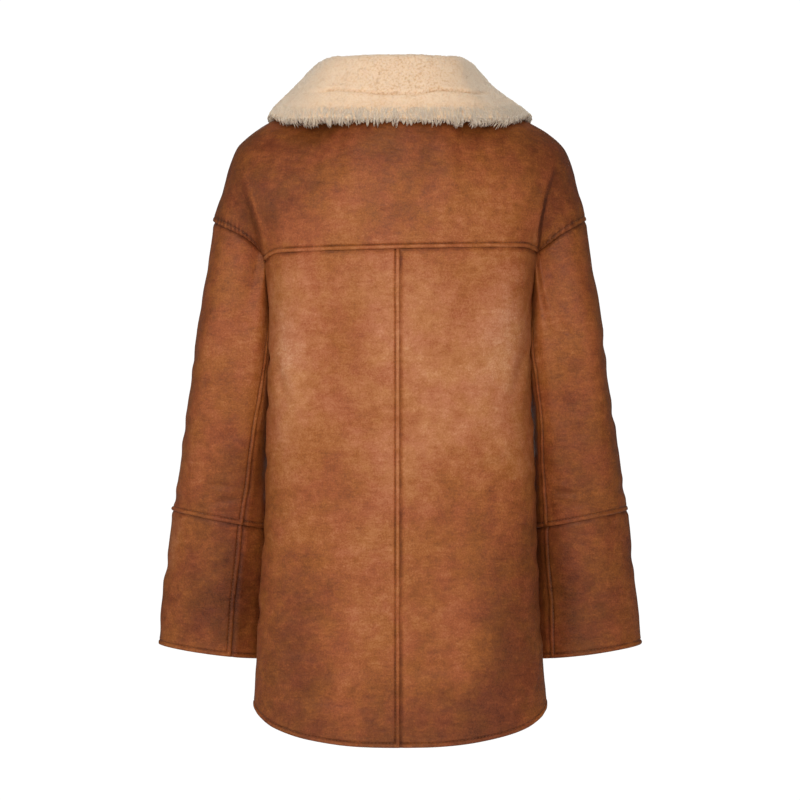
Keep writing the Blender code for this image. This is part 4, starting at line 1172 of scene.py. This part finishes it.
def make_locks(name, loop, n, columns, spacing, length, thickness, seed, droop=0.35, curl=1.0, combed=0.0):
    """Curled locks of pile: each bends over on its own arc and leans with its clump, or down where combed."""
    rng = np.random.default_rng(seed)
    place, up, down, across, _ = scattered(loop, n, columns, spacing, rng)
    clear = collar_crease(place, place[:, 1] > 0) < CREASE_BARE
    place, up, down, across = place[clear], up[clear], down[clear], across[clear]
    count = len(place)
    turn = clump_turns(place, seed) + rng.normal(0.0, LOCK_LEAN, count)
    lean = np.cos(turn)[:, None] * down + np.sin(turn)[:, None] * across
    lean = unit(lean * (1.0 - combed) + down * combed)
    side = np.cross(up, lean)
    size = length * rng.uniform(*LOCK_LENGTHS, count)[:, None]
    bend = rng.uniform(*LOCK_BENDS, count)[:, None] * curl
    t = np.linspace(0.0, 1.0, len(LOCK_SHAPE))
    rise = np.sin(bend * t) / bend * size
    reach = (1 - np.cos(bend * t)) / bend * size
    sway = LOCK_SWAY * np.sin(rng.normal(0.0, 0.8, count)[:, None] * 3.0 * t) * t * size
    centres = (place - LOCK_ROOT * up)[:, None] + up[:, None] * rise[..., None]
    centres = centres + lean[:, None] * reach[..., None]
    centres = centres + side[:, None] * sway[..., None] + down[:, None] * (droop * size * t**2)[..., None]
    return lock_mesh(name, centres, LOCK_SHAPE, thickness, side, rng)


def make_fringe(name, loop, n, columns, spacing, length, thickness, seed):
    """The longer locks of the lower edge: combed down, and drawn together into tufts of uneven length."""
    rng = np.random.default_rng(seed)
    place, up, down, across, along = scattered(loop, n, columns, spacing, rng)
    tuft = np.round(along / TUFT_SPACING + TUFT_WANDER * waves(place, 23.0, seed + 1))
    at_back = FRONT_FRINGE + (1.0 - FRONT_FRINGE) * ease(place[:, 1] / FRONT_FRINGE_Y)
    size = length * rng.uniform(*LONG_LOCK_LENGTHS, len(place))
    size = size * (TUFT_LENGTHS[0] + TUFT_LENGTHS[1] * hashed(tuft, seed)) * at_back
    drawn = (tuft - along / TUFT_SPACING) * TUFT_SPACING * TUFT_DRAWN
    drawn = drawn + (hashed(tuft, seed + 3) - 0.5) * TUFT_TURNED * size
    t = np.linspace(0.0, 1.0, len(LONG_LOCK_SHAPE))
    lift = LONG_LOCK_LIFT * np.sin(np.pi * 0.9 * t) + LONG_LOCK_SPREAD * rng.normal(size=(len(place), 1)) * t
    flow = unit(down + [0.0, 0.0, -0.5])
    centres = (place - LONG_LOCK_ROOT * up)[:, None] + up[:, None] * lift[..., None]
    centres = centres + flow[:, None] * (size[:, None] * t)[..., None]
    centres = centres + across[:, None] * (drawn[:, None] * t**1.5)[..., None]
    return lock_mesh(name, centres, LONG_LOCK_SHAPE, thickness, up, rng, LONG_LOCK_ROOT_SHADE)


def feed(tree, socket, value):
    """Gives a socket a plain value or another node's output."""
    if isinstance(value, bpy.types.NodeSocket):
        tree.links.new(value, socket)
    else:
        socket.default_value = value


def plug(tree, made, **inputs):
    """Feeds a node's sockets by name."""
    for key, value in inputs.items():
        feed(tree, made.inputs[key.replace("_", " ")], value)


def node(tree, kind, **inputs):
    """A new shader node with its sockets fed by name."""
    made = tree.nodes.new("ShaderNode" + kind)
    plug(tree, made, **inputs)
    return made


def worked_out(tree, kind, operation, *values):
    """The outcome of an operation on some values."""
    made = node(tree, kind)
    made.operation = operation
    for socket, value in zip(made.inputs, values):
        feed(tree, socket, value)
    return made.outputs[0]


def math(tree, operation, first, second):
    return worked_out(tree, "Math", operation, first, second)


def weighted(tree, parts, offset):
    """The sum of some values, each times its weight, and an offset."""
    total = offset
    for value, weight in parts:
        total = math(tree, "ADD", math(tree, "MULTIPLY", value, weight), total)
    return total


def new_material(name, **inputs):
    """A material, its node tree and its shader, whose sockets have these values."""
    material = bpy.data.materials.new(name)
    material.use_nodes = True
    tree = material.node_tree
    shader = tree.nodes["Principled BSDF"]
    plug(tree, shader, **inputs)
    return material, tree, shader


def noise(tree, place, scale, detail=4.0, roughness=0.55, distortion=0.0):
    made = node(tree, "TexNoise", Scale=scale, Detail=detail, Roughness=roughness, Distortion=distortion)
    plug(tree, made, Vector=place)
    return made.outputs["Fac"]


def ramp(tree, factor, stops):
    made = tree.nodes.new("ShaderNodeValToRGB")
    while len(made.color_ramp.elements) < len(stops):
        made.color_ramp.elements.new(0.5)
    for element, (place, colour) in zip(made.color_ramp.elements, stops):
        element.position = place
        element.color = (*colour, 1.0)
    tree.links.new(factor, made.inputs[0])
    return made.outputs[0]


def grey(value):
    return (value, value, value)


def bump(tree, height, distance, below=None, strength=1.0):
    """A normal raised by a height, over the normal below it where there is one."""
    made = node(tree, "Bump", Strength=strength, Distance=distance, Height=height)
    if below is not None:
        plug(tree, made, Normal=below)
    return made.outputs["Normal"]


def object_place(tree):
    return tree.nodes.new("ShaderNodeTexCoord").outputs["Object"]


def attribute(tree, name):
    made = tree.nodes.new("ShaderNodeAttribute")
    made.attribute_name = name
    return made.outputs["Fac"]


# The leather's browns and reds; the painted light and shade of its seams, folds and patches move it along them
# too.
LEATHER_BROWNS = (
    (0.0, (0.060, 0.014, 0.002)),
    (0.30, (0.160, 0.043, 0.008)),
    (0.52, (0.280, 0.082, 0.016)),
    (0.74, (0.400, 0.152, 0.053)),
    (1.0, (0.560, 0.290, 0.145)),
)
LEATHER_REDS = (
    (0.0, (0.062, 0.012, 0.003)),
    (0.30, (0.165, 0.037, 0.010)),
    (0.52, (0.288, 0.074, 0.021)),
    (0.74, (0.405, 0.144, 0.062)),
    (1.0, (0.560, 0.278, 0.160)),
)


def mixed(tree, factor, first, second):
    """One colour turning into the other."""
    made = node(tree, "Mix")
    made.data_type = "RGBA"
    for index, value in ((0, factor), (6, first), (7, second)):
        tree.links.new(value, made.inputs[index])
    return made.outputs[2]


def pushed_about(tree, place, scale, detail, amount):
    """The same place, moved a little by a soft noise."""
    wander = node(tree, "TexNoise", Scale=scale, Detail=detail, Vector=place)
    return worked_out(tree, "VectorMath", "MULTIPLY_ADD", wander.outputs["Color"], (amount,) * 3, place)


def cell_distance(tree, feature, place, scale):
    """How far each place is from the middle or the edge of its cell, in a pattern of uneven cells."""
    cells = node(tree, "TexVoronoi", Scale=scale)
    cells.feature = feature
    plug(tree, cells, Vector=place)
    return cells.outputs["Distance"]


def cracked(tree, place, scale):
    """A fine network of lines, as a height from 0 on the lines to 1 between them."""
    bent = pushed_about(tree, place, scale * 1.1, 3.0, 0.9 / scale)
    from_line = cell_distance(tree, "DISTANCE_TO_EDGE", bent, scale)
    return ramp(tree, from_line, ((0.0, grey(0.0)), (0.16, grey(1.0))))


def stretched(tree, place, scales):
    """The same place with each direction on a scale of its own."""
    return worked_out(tree, "VectorMath", "MULTIPLY", place, scales)


def leather_tone(tree, place, mottled, wrinkles, speckled, network):
    """How light the leather is, from its mottled patches, its fine unevenness, and the painted light and shade
    along its seams, folds and gathers and in broad patches.
    """
    cloudy = noise(tree, place, 11.0, 5.0, 0.6)
    seam = attribute(tree, "seam")
    # The seam attribute carries painted shade and highlight with some wear; the tone attribute carries painted
    # light and shade in broad patches.
    parts = (
        (cloudy, 0.52), (mottled, 0.48), (wrinkles, 0.30), (speckled, 0.70), (network, 0.02),
        (seam, 0.06), (math(tree, "MINIMUM", seam, 0.0), 0.15), (attribute(tree, "tone"), 1.0),
    )
    return weighted(tree, parts, -0.515)


def leather_material():
    """Worn brown leather: mottled and finely wrinkled, with painted shade in its seams and lighter bands along
    them that are partly wear and partly painted highlight.
    """
    material, tree, shader = new_material("distressed_brown_leather", Specular_IOR_Level=0.30)
    place = object_place(tree)
    mottled = noise(tree, place, 70.0, 6.0, 0.7)
    wrinkles = noise(tree, stretched(tree, place, (60.0, 60.0, 210.0)), 1.0, 5.0, 0.65, 0.5)
    speckled = noise(tree, place, 520.0, 4.0, 0.8)
    network = cracked(tree, place, 150.0)
    tone = leather_tone(tree, place, mottled, wrinkles, speckled, network)
    reddish = ramp(tree, noise(tree, place, 24.0, 5.0, 0.65), ((0.4, grey(0.0)), (0.62, grey(1.0))))
    colour = mixed(tree, reddish, ramp(tree, tone, LEATHER_BROWNS), ramp(tree, tone, LEATHER_REDS))
    dull = ramp(tree, mottled, ((0.3, grey(0.46)), (0.7, grey(0.62))))
    normal = bump(tree, noise(tree, place, 120.0, 5.0, 0.6, 0.2), 0.0004)
    normal = bump(tree, wrinkles, 0.0007, normal)
    normal = bump(tree, network, 0.00012, normal, 0.5)
    normal = bump(tree, speckled, 0.0003, normal, 0.9)
    plug(tree, shader, Base_Color=colour, Roughness=dull, Normal=normal)
    return material


PILE_SOFTNESS = {
    "Specular_IOR_Level": 0.1,
    "Sheen_Weight": 0.5,
    "Sheen_Roughness": 0.5,
    "Sheen_Tint": (1.0, 0.9, 0.76, 1.0),
    "Subsurface_Weight": 0.6,
    "Subsurface_Radius": (1.0, 0.8, 0.6),
    "Subsurface_Scale": 0.004,
}
# The pile's creams; its painted shade reaches the darker ones.
PILE_CREAMS = (
    (0.0, (0.52, 0.31, 0.17)),
    (0.3, (0.69, 0.475, 0.305)),
    (0.6, (0.745, 0.555, 0.385)),
    (0.9, (0.79, 0.62, 0.455)),
)


def pile_material(name):
    """Cream pile: fine pellets of curl, with painted shade round the edge of each where the pile is curly."""
    material, tree, shader = new_material(name, **PILE_SOFTNESS)
    place = object_place(tree)
    curled = attribute(tree, "curled")
    patchy = noise(tree, place, 60.0, 4.0, 0.6)
    strand = noise(tree, place, 900.0, 3.0, 0.6)
    from_middle = cell_distance(tree, "F1", pushed_about(tree, place, 240.0, 2.0, 0.0012), 400.0)
    # Painted shade in the gaps between the pellets of curl.
    gap = ramp(tree, from_middle, ((0.45, grey(0.0)), (0.80, grey(1.0))))
    painted_gap_shade = math(tree, "MULTIPLY", gap, curled)
    # The tip attribute paints shade towards the roots of the locks and on the collar's skin.
    parts = ((attribute(tree, "tip"), 0.4), (patchy, 0.5), (strand, 0.16), (painted_gap_shade, -0.38))
    colour = ramp(tree, weighted(tree, parts, 0.0), PILE_CREAMS)
    dull = ramp(tree, strand, ((0.2, grey(0.8)), (0.8, grey(0.97))))
    pellets = math(tree, "MULTIPLY", math(tree, "SUBTRACT", 1.0, from_middle), curled)
    normal = bump(tree, strand, 0.0004, bump(tree, pellets, 0.0004))
    plug(tree, shader, Base_Color=colour, Roughness=dull, Normal=normal)
    return material


def thread_material():
    """Brown thread with a fine twist."""
    material, tree, shader = new_material("brown_thread")
    twist = noise(tree, object_place(tree), 2600.0, 2.0, 0.5)
    colour = ramp(tree, twist, ((0.3, (0.10, 0.035, 0.014)), (0.7, (0.22, 0.085, 0.034))))
    dull = ramp(tree, twist, ((0.3, grey(0.55)), (0.7, grey(0.75))))
    plug(tree, shader, Base_Color=colour, Roughness=dull, Normal=bump(tree, twist, 0.0001))
    return material


def horn_material():
    """Dark streaked horn, polished."""
    material, tree, shader = new_material("brown_horn")
    place = object_place(tree)
    streaks = noise(tree, place, 150.0, 5.0, 0.6, 2.2)
    fine = noise(tree, place, 1400.0, 3.0, 0.5)
    browns = ((0.3, (0.018, 0.008, 0.005)), (0.55, (0.075, 0.032, 0.016)), (0.75, (0.19, 0.095, 0.045)))
    dull = ramp(tree, fine, ((0.3, grey(0.24)), (0.7, grey(0.4))))
    normal = bump(tree, fine, 0.00004)
    plug(tree, shader, Base_Color=ramp(tree, streaks, browns), Roughness=dull, Normal=normal)
    return material


BUTTON_PROFILE = (
    # radius, how far out
    (0, 0.2), (11.6, 0.2), (12.5, 0.6), (13, 1.6), (13, 3.4), (12.6, 4.5), (11.6, 5), (10.4, 5),
    (9.2, 4.6), (8.2, 3.9), (7.2, 3.6), (0, 3.4),
)
BUTTON_SIDES = 56
BUTTON_OFF = 0.4
BUTTON_SHARP_FROM = np.radians(50.0)
HOLE_SPREAD = 2.3
HOLE_RADIUS = 1.05
HOLE_EASE = (0.35, 0.5)
HOLE_DEPTH = 2.4
# The thread's bars: their height, how far they arch and sink at the holes, and where their strands lie.
BAR_HEIGHT = 3.6
BAR_ARCH = 1.0
BAR_SINK = 1.2
BAR_STRANDS = (-0.42, 0.0, 0.42)
STRAND_RADIUS = 0.3


def button_frame(z):
    """The middle of a button's back on the right front, and its directions across, up and out."""
    rows = np.linspace(0.0, 1.0, 400)
    track = front_surface(-1, 0 * rows, rows)
    place = np.interp(-z, -track[:, 2], rows) + np.array([-0.01, 0.0, 0.01])
    above, centre, below = front_surface(-1, 0 * place, place)
    up = (above - below) / np.linalg.norm(above - below)
    across = np.array([1.0, 0.0, 0.0])
    out = np.cross(across, up)
    return centre + out * BUTTON_OFF, across, up, out


def button_rings():
    """The radius and the height of each ring of a button, and whether it is on the dished front.

    The rings lie closer together on the front, where the holes are.
    """
    table = np.array(BUTTON_PROFILE)
    length = run_lengths(table)
    back, front = np.linspace(0.0, length[-2], 30)[:-1], np.linspace(length[-2], length[-1], 18)
    at = np.concatenate([back, front])[1:-1]
    return np.interp(at, length, table[:, 0]), np.interp(at, length, table[:, 1]), at > length[-2]


def make_button(name, z, materials):
    """A turned button with a rolled rim, a dished middle and four sewn holes."""
    middle, across, up, out = button_frame(z)
    radius, far, front = (row[:, None] for row in button_rings())
    turns = np.arange(BUTTON_SIDES) * 2 * np.pi / BUTTON_SIDES
    x, y = radius * np.cos(turns), radius * np.sin(turns)
    from_hole = np.hypot(np.abs(x) - HOLE_SPREAD, np.abs(y) - HOLE_SPREAD)
    sunk = ease((HOLE_RADIUS + HOLE_EASE[0] - from_hole) / HOLE_EASE[1]) * front
    depth = far - HOLE_DEPTH * sunk
    rings = middle + across * x[..., None] + up * y[..., None] + out * depth[..., None]
    ends = [middle + out * BUTTON_PROFILE[0][1], middle + out * BUTTON_PROFILE[-1][1]]
    points = np.concatenate([rings.reshape(-1, 3), ends])
    quads = closed_rings(len(radius), BUTTON_SIDES)[0][:, [0, 3, 2, 1]]
    disc = outward_mesh(name + "_horn", points, quads, end_fans(len(radius), BUTTON_SIDES), [materials[0]])
    disc.data.set_sharp_from_angle(angle=BUTTON_SHARP_FROM)
    return disc, make_button_thread(name, middle, across, up, out, materials[1])


def end_fans(rings, sides):
    """The triangles from the first and the last ring to the two middle points that follow all the rings."""
    j = np.arange(sides)
    k = (j + 1) % sides
    last = (rings - 1) * sides
    first_middle = 0 * j + rings * sides
    back = np.stack([j, first_middle, k], axis=-1)
    front = np.stack([last + k, first_middle + 1, last + j], axis=-1)
    return np.concatenate([back, front])


def make_button_thread(name, middle, across, up, out, material):
    """Two bars of thread, each of three strands, that pass between the holes."""
    t = np.linspace(-1.0, 1.0, 9)[:, None]
    height = BAR_HEIGHT + BAR_ARCH * (1 - t**2) - BAR_SINK * (np.abs(t) > 0.95)
    places = [bar * HOLE_SPREAD + strand for bar in (-1, 1) for strand in BAR_STRANDS]
    centres = np.array([middle + across * x + up * (t * HOLE_SPREAD) + out * height for x in places])
    radii = np.full(centres.shape[:2], STRAND_RADIUS)
    ups = np.broadcast_to(across, centres.shape)
    return quick_mesh(name + "_thread", *tubes(centres, radii, ups, 6), [material])


def ridden(piece, slot, *replaced):
    """Makes a piece move with the one body, and hides the nodes that it stands for. Its slot is not used."""
    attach(piece, "root")
    if replaced:
        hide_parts(*replaced)


# Soft patches of painted light (positive) or painted shade: middle, half sizes and amount.
PAINTED_LIGHT_AND_SHADE_PATCHES = (
    # x, y, z, half width, half depth, half height, amount
    (0, 120, -290, 130, 90, 190, 0.08), (-100, 120, -300, 60, 90, 130, 0.13),
    (135, 100, -320, 34, 90, 130, 0.16), (-40, 120, -330, 40, 90, 90, 0.06),
    (0, 60, -45, 260, 120, 42, -0.14), (0, 100, -110, 190, 120, 70, -0.05),
    (188, 40, -100, 45, 90, 70, -0.2), (-185, 40, -120, 40, 90, 80, -0.22),
    (118, 110, -650, 48, 90, 120, -0.19), (-128, 110, -650, 44, 90, 150, -0.22),
    (40, 110, -745, 150, 90, 45, -0.16), (-80, 110, -740, 60, 90, 50, -0.1),
    (228, -20, -590, 60, 90, 95, -0.22), (-232, -20, -590, 60, 90, 95, -0.25),
    (200, -10, -580, 22, 90, 90, -0.2), (-198, -10, -585, 22, 90, 80, -0.12),
    (284, -30, -540, 24, 90, 90, 0.08), (215, -10, -380, 50, 90, 150, -0.05),
    (-215, -10, -380, 50, 90, 150, -0.1), (125, 90, -125, 42, 90, 50, -0.12),
    (0, 120, -400, 50, 90, 160, 0.08), (136, 100, -300, 24, 90, 100, 0.1),
    (-118, 110, -300, 28, 90, 120, 0.12), (200, -10, -460, 22, 90, 60, -0.12),
    (-180, -10, -505, 24, 90, 70, -0.16), (278, -30, -530, 20, 90, 50, 0.08),
    (232, -20, -622, 32, 90, 32, -0.12), (-196, 10, -400, 24, 90, 110, -0.06),
)


def add_painted_light_and_shade(shell):
    """Painted light and shade in broad patches."""
    co = np.empty(len(shell.data.vertices) * 3, np.float32)
    shell.data.vertices.foreach_get("co", co)
    co = co.reshape(-1, 3) * 1000.0
    tone = np.zeros(len(co))
    for row in PAINTED_LIGHT_AND_SHADE_PATCHES:
        away = (co - np.array(row[:3])) / np.array(row[3:6])
        tone += row[6] * np.exp(-np.sum(away**2, axis=1))
    add_attribute(shell, "tone", tone)


def finish_panel(node_name, flat, area, surface, centre, rims, form, low=0.0, drop=None, cell=CELL):
    """Makes one panel's shell and stitches, and hides the solid that they stand for. The sheet's flat size and
    area are not used.
    """
    shell, stitches = make_shell(node_name, surface, centre, rims, form, [LEATHER, LINING], low, drop, cell)
    add_painted_light_and_shade(shell)
    ridden(shell, "leather", node_name)
    ridden(stitches, "leather")


# How high the band along each kind of seam stands, as a share of the usual height.
ARMHOLE_BAND = 0.45
SIDE_BAND = 0.6
HEM_BAND = 0.8
SLEEVE_BAND = 0.75

# How far the left front lies under the right one, and how softly it comes out, as shares of its width.
UNDERLAP_END = 0.17
UNDERLAP_EASE = 0.12
# What the lap is measured against, to find where each front starts.
FRONT_WIDTH = 190.0
# How far the yoke is smoothed on both sides of each neckline corner, how soon below it and how wide.
CORNER_SPREAD = 0.09
CORNER_START = 0.15
CORNER_WIDTH = 0.12
SIDES = ((1, "left"), (-1, "right"))
# Points inside the jacket that the panels' outer faces look away from.
BODY_MIDDLE = np.array([0.0, 0.0, -260.0])
BACK_AWAY = [0.0, 100.0, 0.0]
FRONT_ASIDE = 40.0


def underlap(a):
    """How far the left front lies below its form, under the right one."""
    return UNDERLAP_DROP * (1 - ease((a - UNDERLAP_END) / UNDERLAP_EASE))


def soft_yoke(u, v):
    """The yoke, with the crease that would run down from each corner of the neckline smoothed away."""
    spread = CORNER_SPREAD * ease(v / CORNER_START) * bell(np.abs(u) - NECK_CORNER, CORNER_WIDTH)
    return sum(yoke_surface(u + spread * k, v) for k in (-1.0, -0.5, 0.0, 0.5, 1.0)) / 5.0


def make_yoke():
    """The back yoke, which laps over both sleeves and the lower back."""
    rims = {"left": ARMHOLE_BAND, "right": ARMHOLE_BAND, "bottom": 1.0}
    settings = (soft_yoke, BODY_MIDDLE, rims, yoke_form)
    finish_panel("back_yoke", (0.50, 0.25), 0.103, *settings, low=-1.0, cell=YOKE_CELL)


def make_back(side, name):
    """One side of the lower back. The left one laps over the right one at the centre seam."""

    def surface(a, v):
        return back_surface(a * side, v)

    rims = {"left": 1.0, "bottom": HEM_BAND} if side > 0 else {"bottom": HEM_BAND}
    finish_panel("back_" + name, (0.30, 0.585), 0.153, surface, BODY_MIDDLE + BACK_AWAY, rims, body_form)


def make_front(side, name):
    """One front. The left one runs on, lower, under the right one."""

    def surface(a, v):
        return front_surface(side, a, v)

    rims = {"bottom": HEM_BAND, "right": SIDE_BAND}
    if side < 0:
        rims["left"] = 1.0
    drop = underlap if side > 0 else None
    low = -FRONT_LAP / FRONT_WIDTH
    centre = BODY_MIDDLE + [FRONT_ASIDE * side, 0.0, 0.0]
    finish_panel("front_" + name, (0.29, 0.72), 0.173, surface, centre, rims, body_form, low, drop, FRONT_CELL)


def make_body():
    make_yoke()
    for side, name in SIDES:
        make_back(side, name)
        make_front(side, name)


OUTER_RIMS = {"bottom": SLEEVE_BAND, "right": SLEEVE_BAND}
UNDER_RIMS = {"bottom": SLEEVE_BAND}
SLEEVE_PIECES = (
    # name, whether it is the under panel, first and last level, rims, height of its middle, flat size, area
    ("sleeve_outer_", False, 0.0, SLEEVE_CUFF_SEAM, OUTER_RIMS, -380.0, (0.33, 0.365), 0.092),
    ("sleeve_under_", True, 0.0, SLEEVE_CUFF_SEAM, UNDER_RIMS, -380.0, (0.115, 0.29), 0.0265),
    ("cuff_outer_", False, SLEEVE_CUFF_SEAM, SLEEVE_END, OUTER_RIMS, -580.0, (0.28, 0.17), 0.0445),
    ("cuff_under_", True, SLEEVE_CUFF_SEAM, SLEEVE_END, UNDER_RIMS, -580.0, (0.115, 0.16), 0.0163),
)


def make_sleeves():
    for side, name in SIDES:
        for stem, under, first, last, rims, height, flat, area in SLEEVE_PIECES:
            ring = sleeve_ring(np.array([0.0, np.pi]), np.array([height, height]))
            centre = ring.mean(axis=0) * [side, 1, 1]

            def form(points, v, side=side, first=first, last=last):
                return sleeve_form(side, points, first + (last - first) * v)

            surface = sleeve_panel(side, under, first, last)
            finish_panel(stem + name, flat, area, surface, centre, rims, form)


# How the locks of each stretch of the collar are made: see make_locks.
FALL_LOCKS = {
    "columns": UPPER_COLUMNS,
    "spacing": 2.5,
    "length": 2.0,
    "thickness": 0.36,
    "droop": 0.3,
    "curl": 1.5,
    "combed": 0.6,
}
END_LOCKS = {
    "columns": WHOLE_COLUMNS,
    "spacing": 2.3,
    "length": 3.0,
    "thickness": 0.5,
    "droop": 0.3,
    "curl": 1.3,
    "combed": 0.5,
}
INNER_LOCKS = {"columns": INNER_COLUMNS, "spacing": 5.0, "length": 3.4, "thickness": 1.2, "curl": 1.2}
STAND_LOCKS = {"columns": STAND_COLUMNS, "spacing": 4.0, "length": 3.4, "thickness": 1.0, "curl": 1.2}
FRINGE = {"columns": FRINGE_COLUMNS, "spacing": 2.1, "length": 9.0, "thickness": 0.62}


def make_collar():
    form, loop, n = make_collar_form([PILE])
    half = len(loop) // 2
    right, left = np.s_[: half + 1], np.s_[half:]
    right_end, left_end = np.s_[:END_ROWS], np.s_[-END_ROWS:]
    locks = [
        make_locks("collar_locks_right", loop[right], n[right], seed=51, **FALL_LOCKS),
        make_locks("collar_locks_left", loop[left], n[left], seed=61, **FALL_LOCKS),
        make_fringe("collar_locks_edge", loop, n, seed=71, **FRINGE),
        make_locks("collar_locks_inner", loop, n, seed=81, **INNER_LOCKS),
        make_locks("collar_locks_end_right", loop[right_end], n[right_end], seed=101, **END_LOCKS),
        make_locks("collar_locks_end_left", loop[left_end], n[left_end], seed=111, **END_LOCKS),
        make_locks("collar_locks_stand", loop, n, seed=91, **STAND_LOCKS),
    ]
    ridden(form, "shearling", "collar")
    for lock in locks:
        ridden(lock, "shearling")


def make_buttons():
    for i, z in enumerate(BUTTON_HEIGHTS):
        name = f"button_{i + 1}"
        disc, thread = make_button(name, z, [HORN, THREAD])
        ridden(disc, "button", name)
        ridden(thread, "button")


# The camera is where the photograph's was: level with the jacket's middle, 3.2 m behind it.
CAMERA_PLACE = (0.0, 3.2, -0.3538)
CAMERA_LENS = 118.03
SENSOR = 36.0
FLOOR_Z = -1.42
FLOOR_HALF = 2.4
FLOOR_COLOUR = (0.86, 0.86, 0.85, 1.0)
# How bright the white all round is where it lights the jacket, and how much more where the camera sees it.
WORLD_LIGHT = 0.14
WORLD_SEEN = 0.91


def make_camera():
    data = bpy.data.cameras.new("camera")
    data.sensor_width = SENSOR
    data.lens = CAMERA_LENS
    camera = bpy.data.objects.new("camera", data)
    camera.location = CAMERA_PLACE
    camera.rotation_euler = (np.radians(90.0), 0.0, np.radians(180.0))
    bpy.context.scene.collection.objects.link(camera)
    bpy.context.scene.camera = camera


LIGHTS = (
    # name, place, aimed at, width, height, power, whether it shows in the gloss
    ("key", (0.35, 2.35, 0.65), (0.0, 0.0, -0.22), 1.3, 1.1, 24.0, True),
    ("behind_camera", (0.1, 3.7, -0.2), (0.0, 0.0, -0.35), 1.1, 1.1, 58.0, False),
    ("fill", (-1.5, 2.3, 0.1), (0.0, 0.0, -0.3), 0.9, 1.2, 7.0, True),
    ("left", (2.3, 1.25, 0.25), (0.0, 0.0, -0.3), 0.8, 1.4, 11.0, True),
    ("top", (0.2, 1.1, 1.9), (0.0, 0.0, -0.05), 1.4, 1.2, 8.0, False),
    ("front", (-0.7, -2.7, 0.35), (0.0, 0.0, -0.35), 1.4, 1.6, 46.0, False),
    ("front_gloss", (0.2, -3.0, 0.2), (0.0, 0.0, -0.35), 1.2, 1.4, 8.0, True),
)


def make_lights():
    for name, place, target, width, height, power, glossy in LIGHTS:
        data = bpy.data.lights.new(name, "AREA")
        data.shape = "RECTANGLE"
        data.size, data.size_y = width, height
        data.energy = power
        light = bpy.data.objects.new(name, data)
        light.location = place
        aim = Vector(target) - Vector(place)
        light.rotation_euler = aim.to_track_quat("-Z", "Y").to_euler()
        light.visible_glossy = glossy
        bpy.context.scene.collection.objects.link(light)


def make_world():
    """White all round: full strength where the camera sees it, and softer where it lights the jacket."""
    world = bpy.data.worlds.new("studio")
    bpy.context.scene.world = world
    world.use_nodes = True
    tree = world.node_tree
    background = tree.nodes["Background"]
    background.inputs["Color"].default_value = (1.0, 1.0, 1.0, 1.0)
    seen = tree.nodes.new("ShaderNodeLightPath").outputs["Is Camera Ray"]
    plug(tree, background, Strength=weighted(tree, ((seen, WORLD_SEEN),), WORLD_LIGHT))
    bpy.context.scene.view_settings.view_transform = "Standard"


def make_floor():
    material, _, _ = new_material("pale_floor", Base_Color=FLOOR_COLOUR, Roughness=0.9)
    corners = np.array([(-1, -1, 0), (1, -1, 0), (1, 1, 0), (-1, 1, 0)]) * FLOOR_HALF + [0, 0.3, FLOOR_Z]
    quads, triangles = np.array([[0, 1, 2, 3]]), np.zeros((0, 3), int)
    quick_mesh("floor", corners * 1000.0, quads, triangles, [material])


LEATHER = leather_material()
LINING = pile_material("cream_lining_pile")
PILE = pile_material("cream_shearling_pile")
THREAD = thread_material()
HORN = horn_material()

make_camera()
make_world()
make_lights()
make_floor()
make_body()
make_sleeves()
make_collar()
make_buttons()
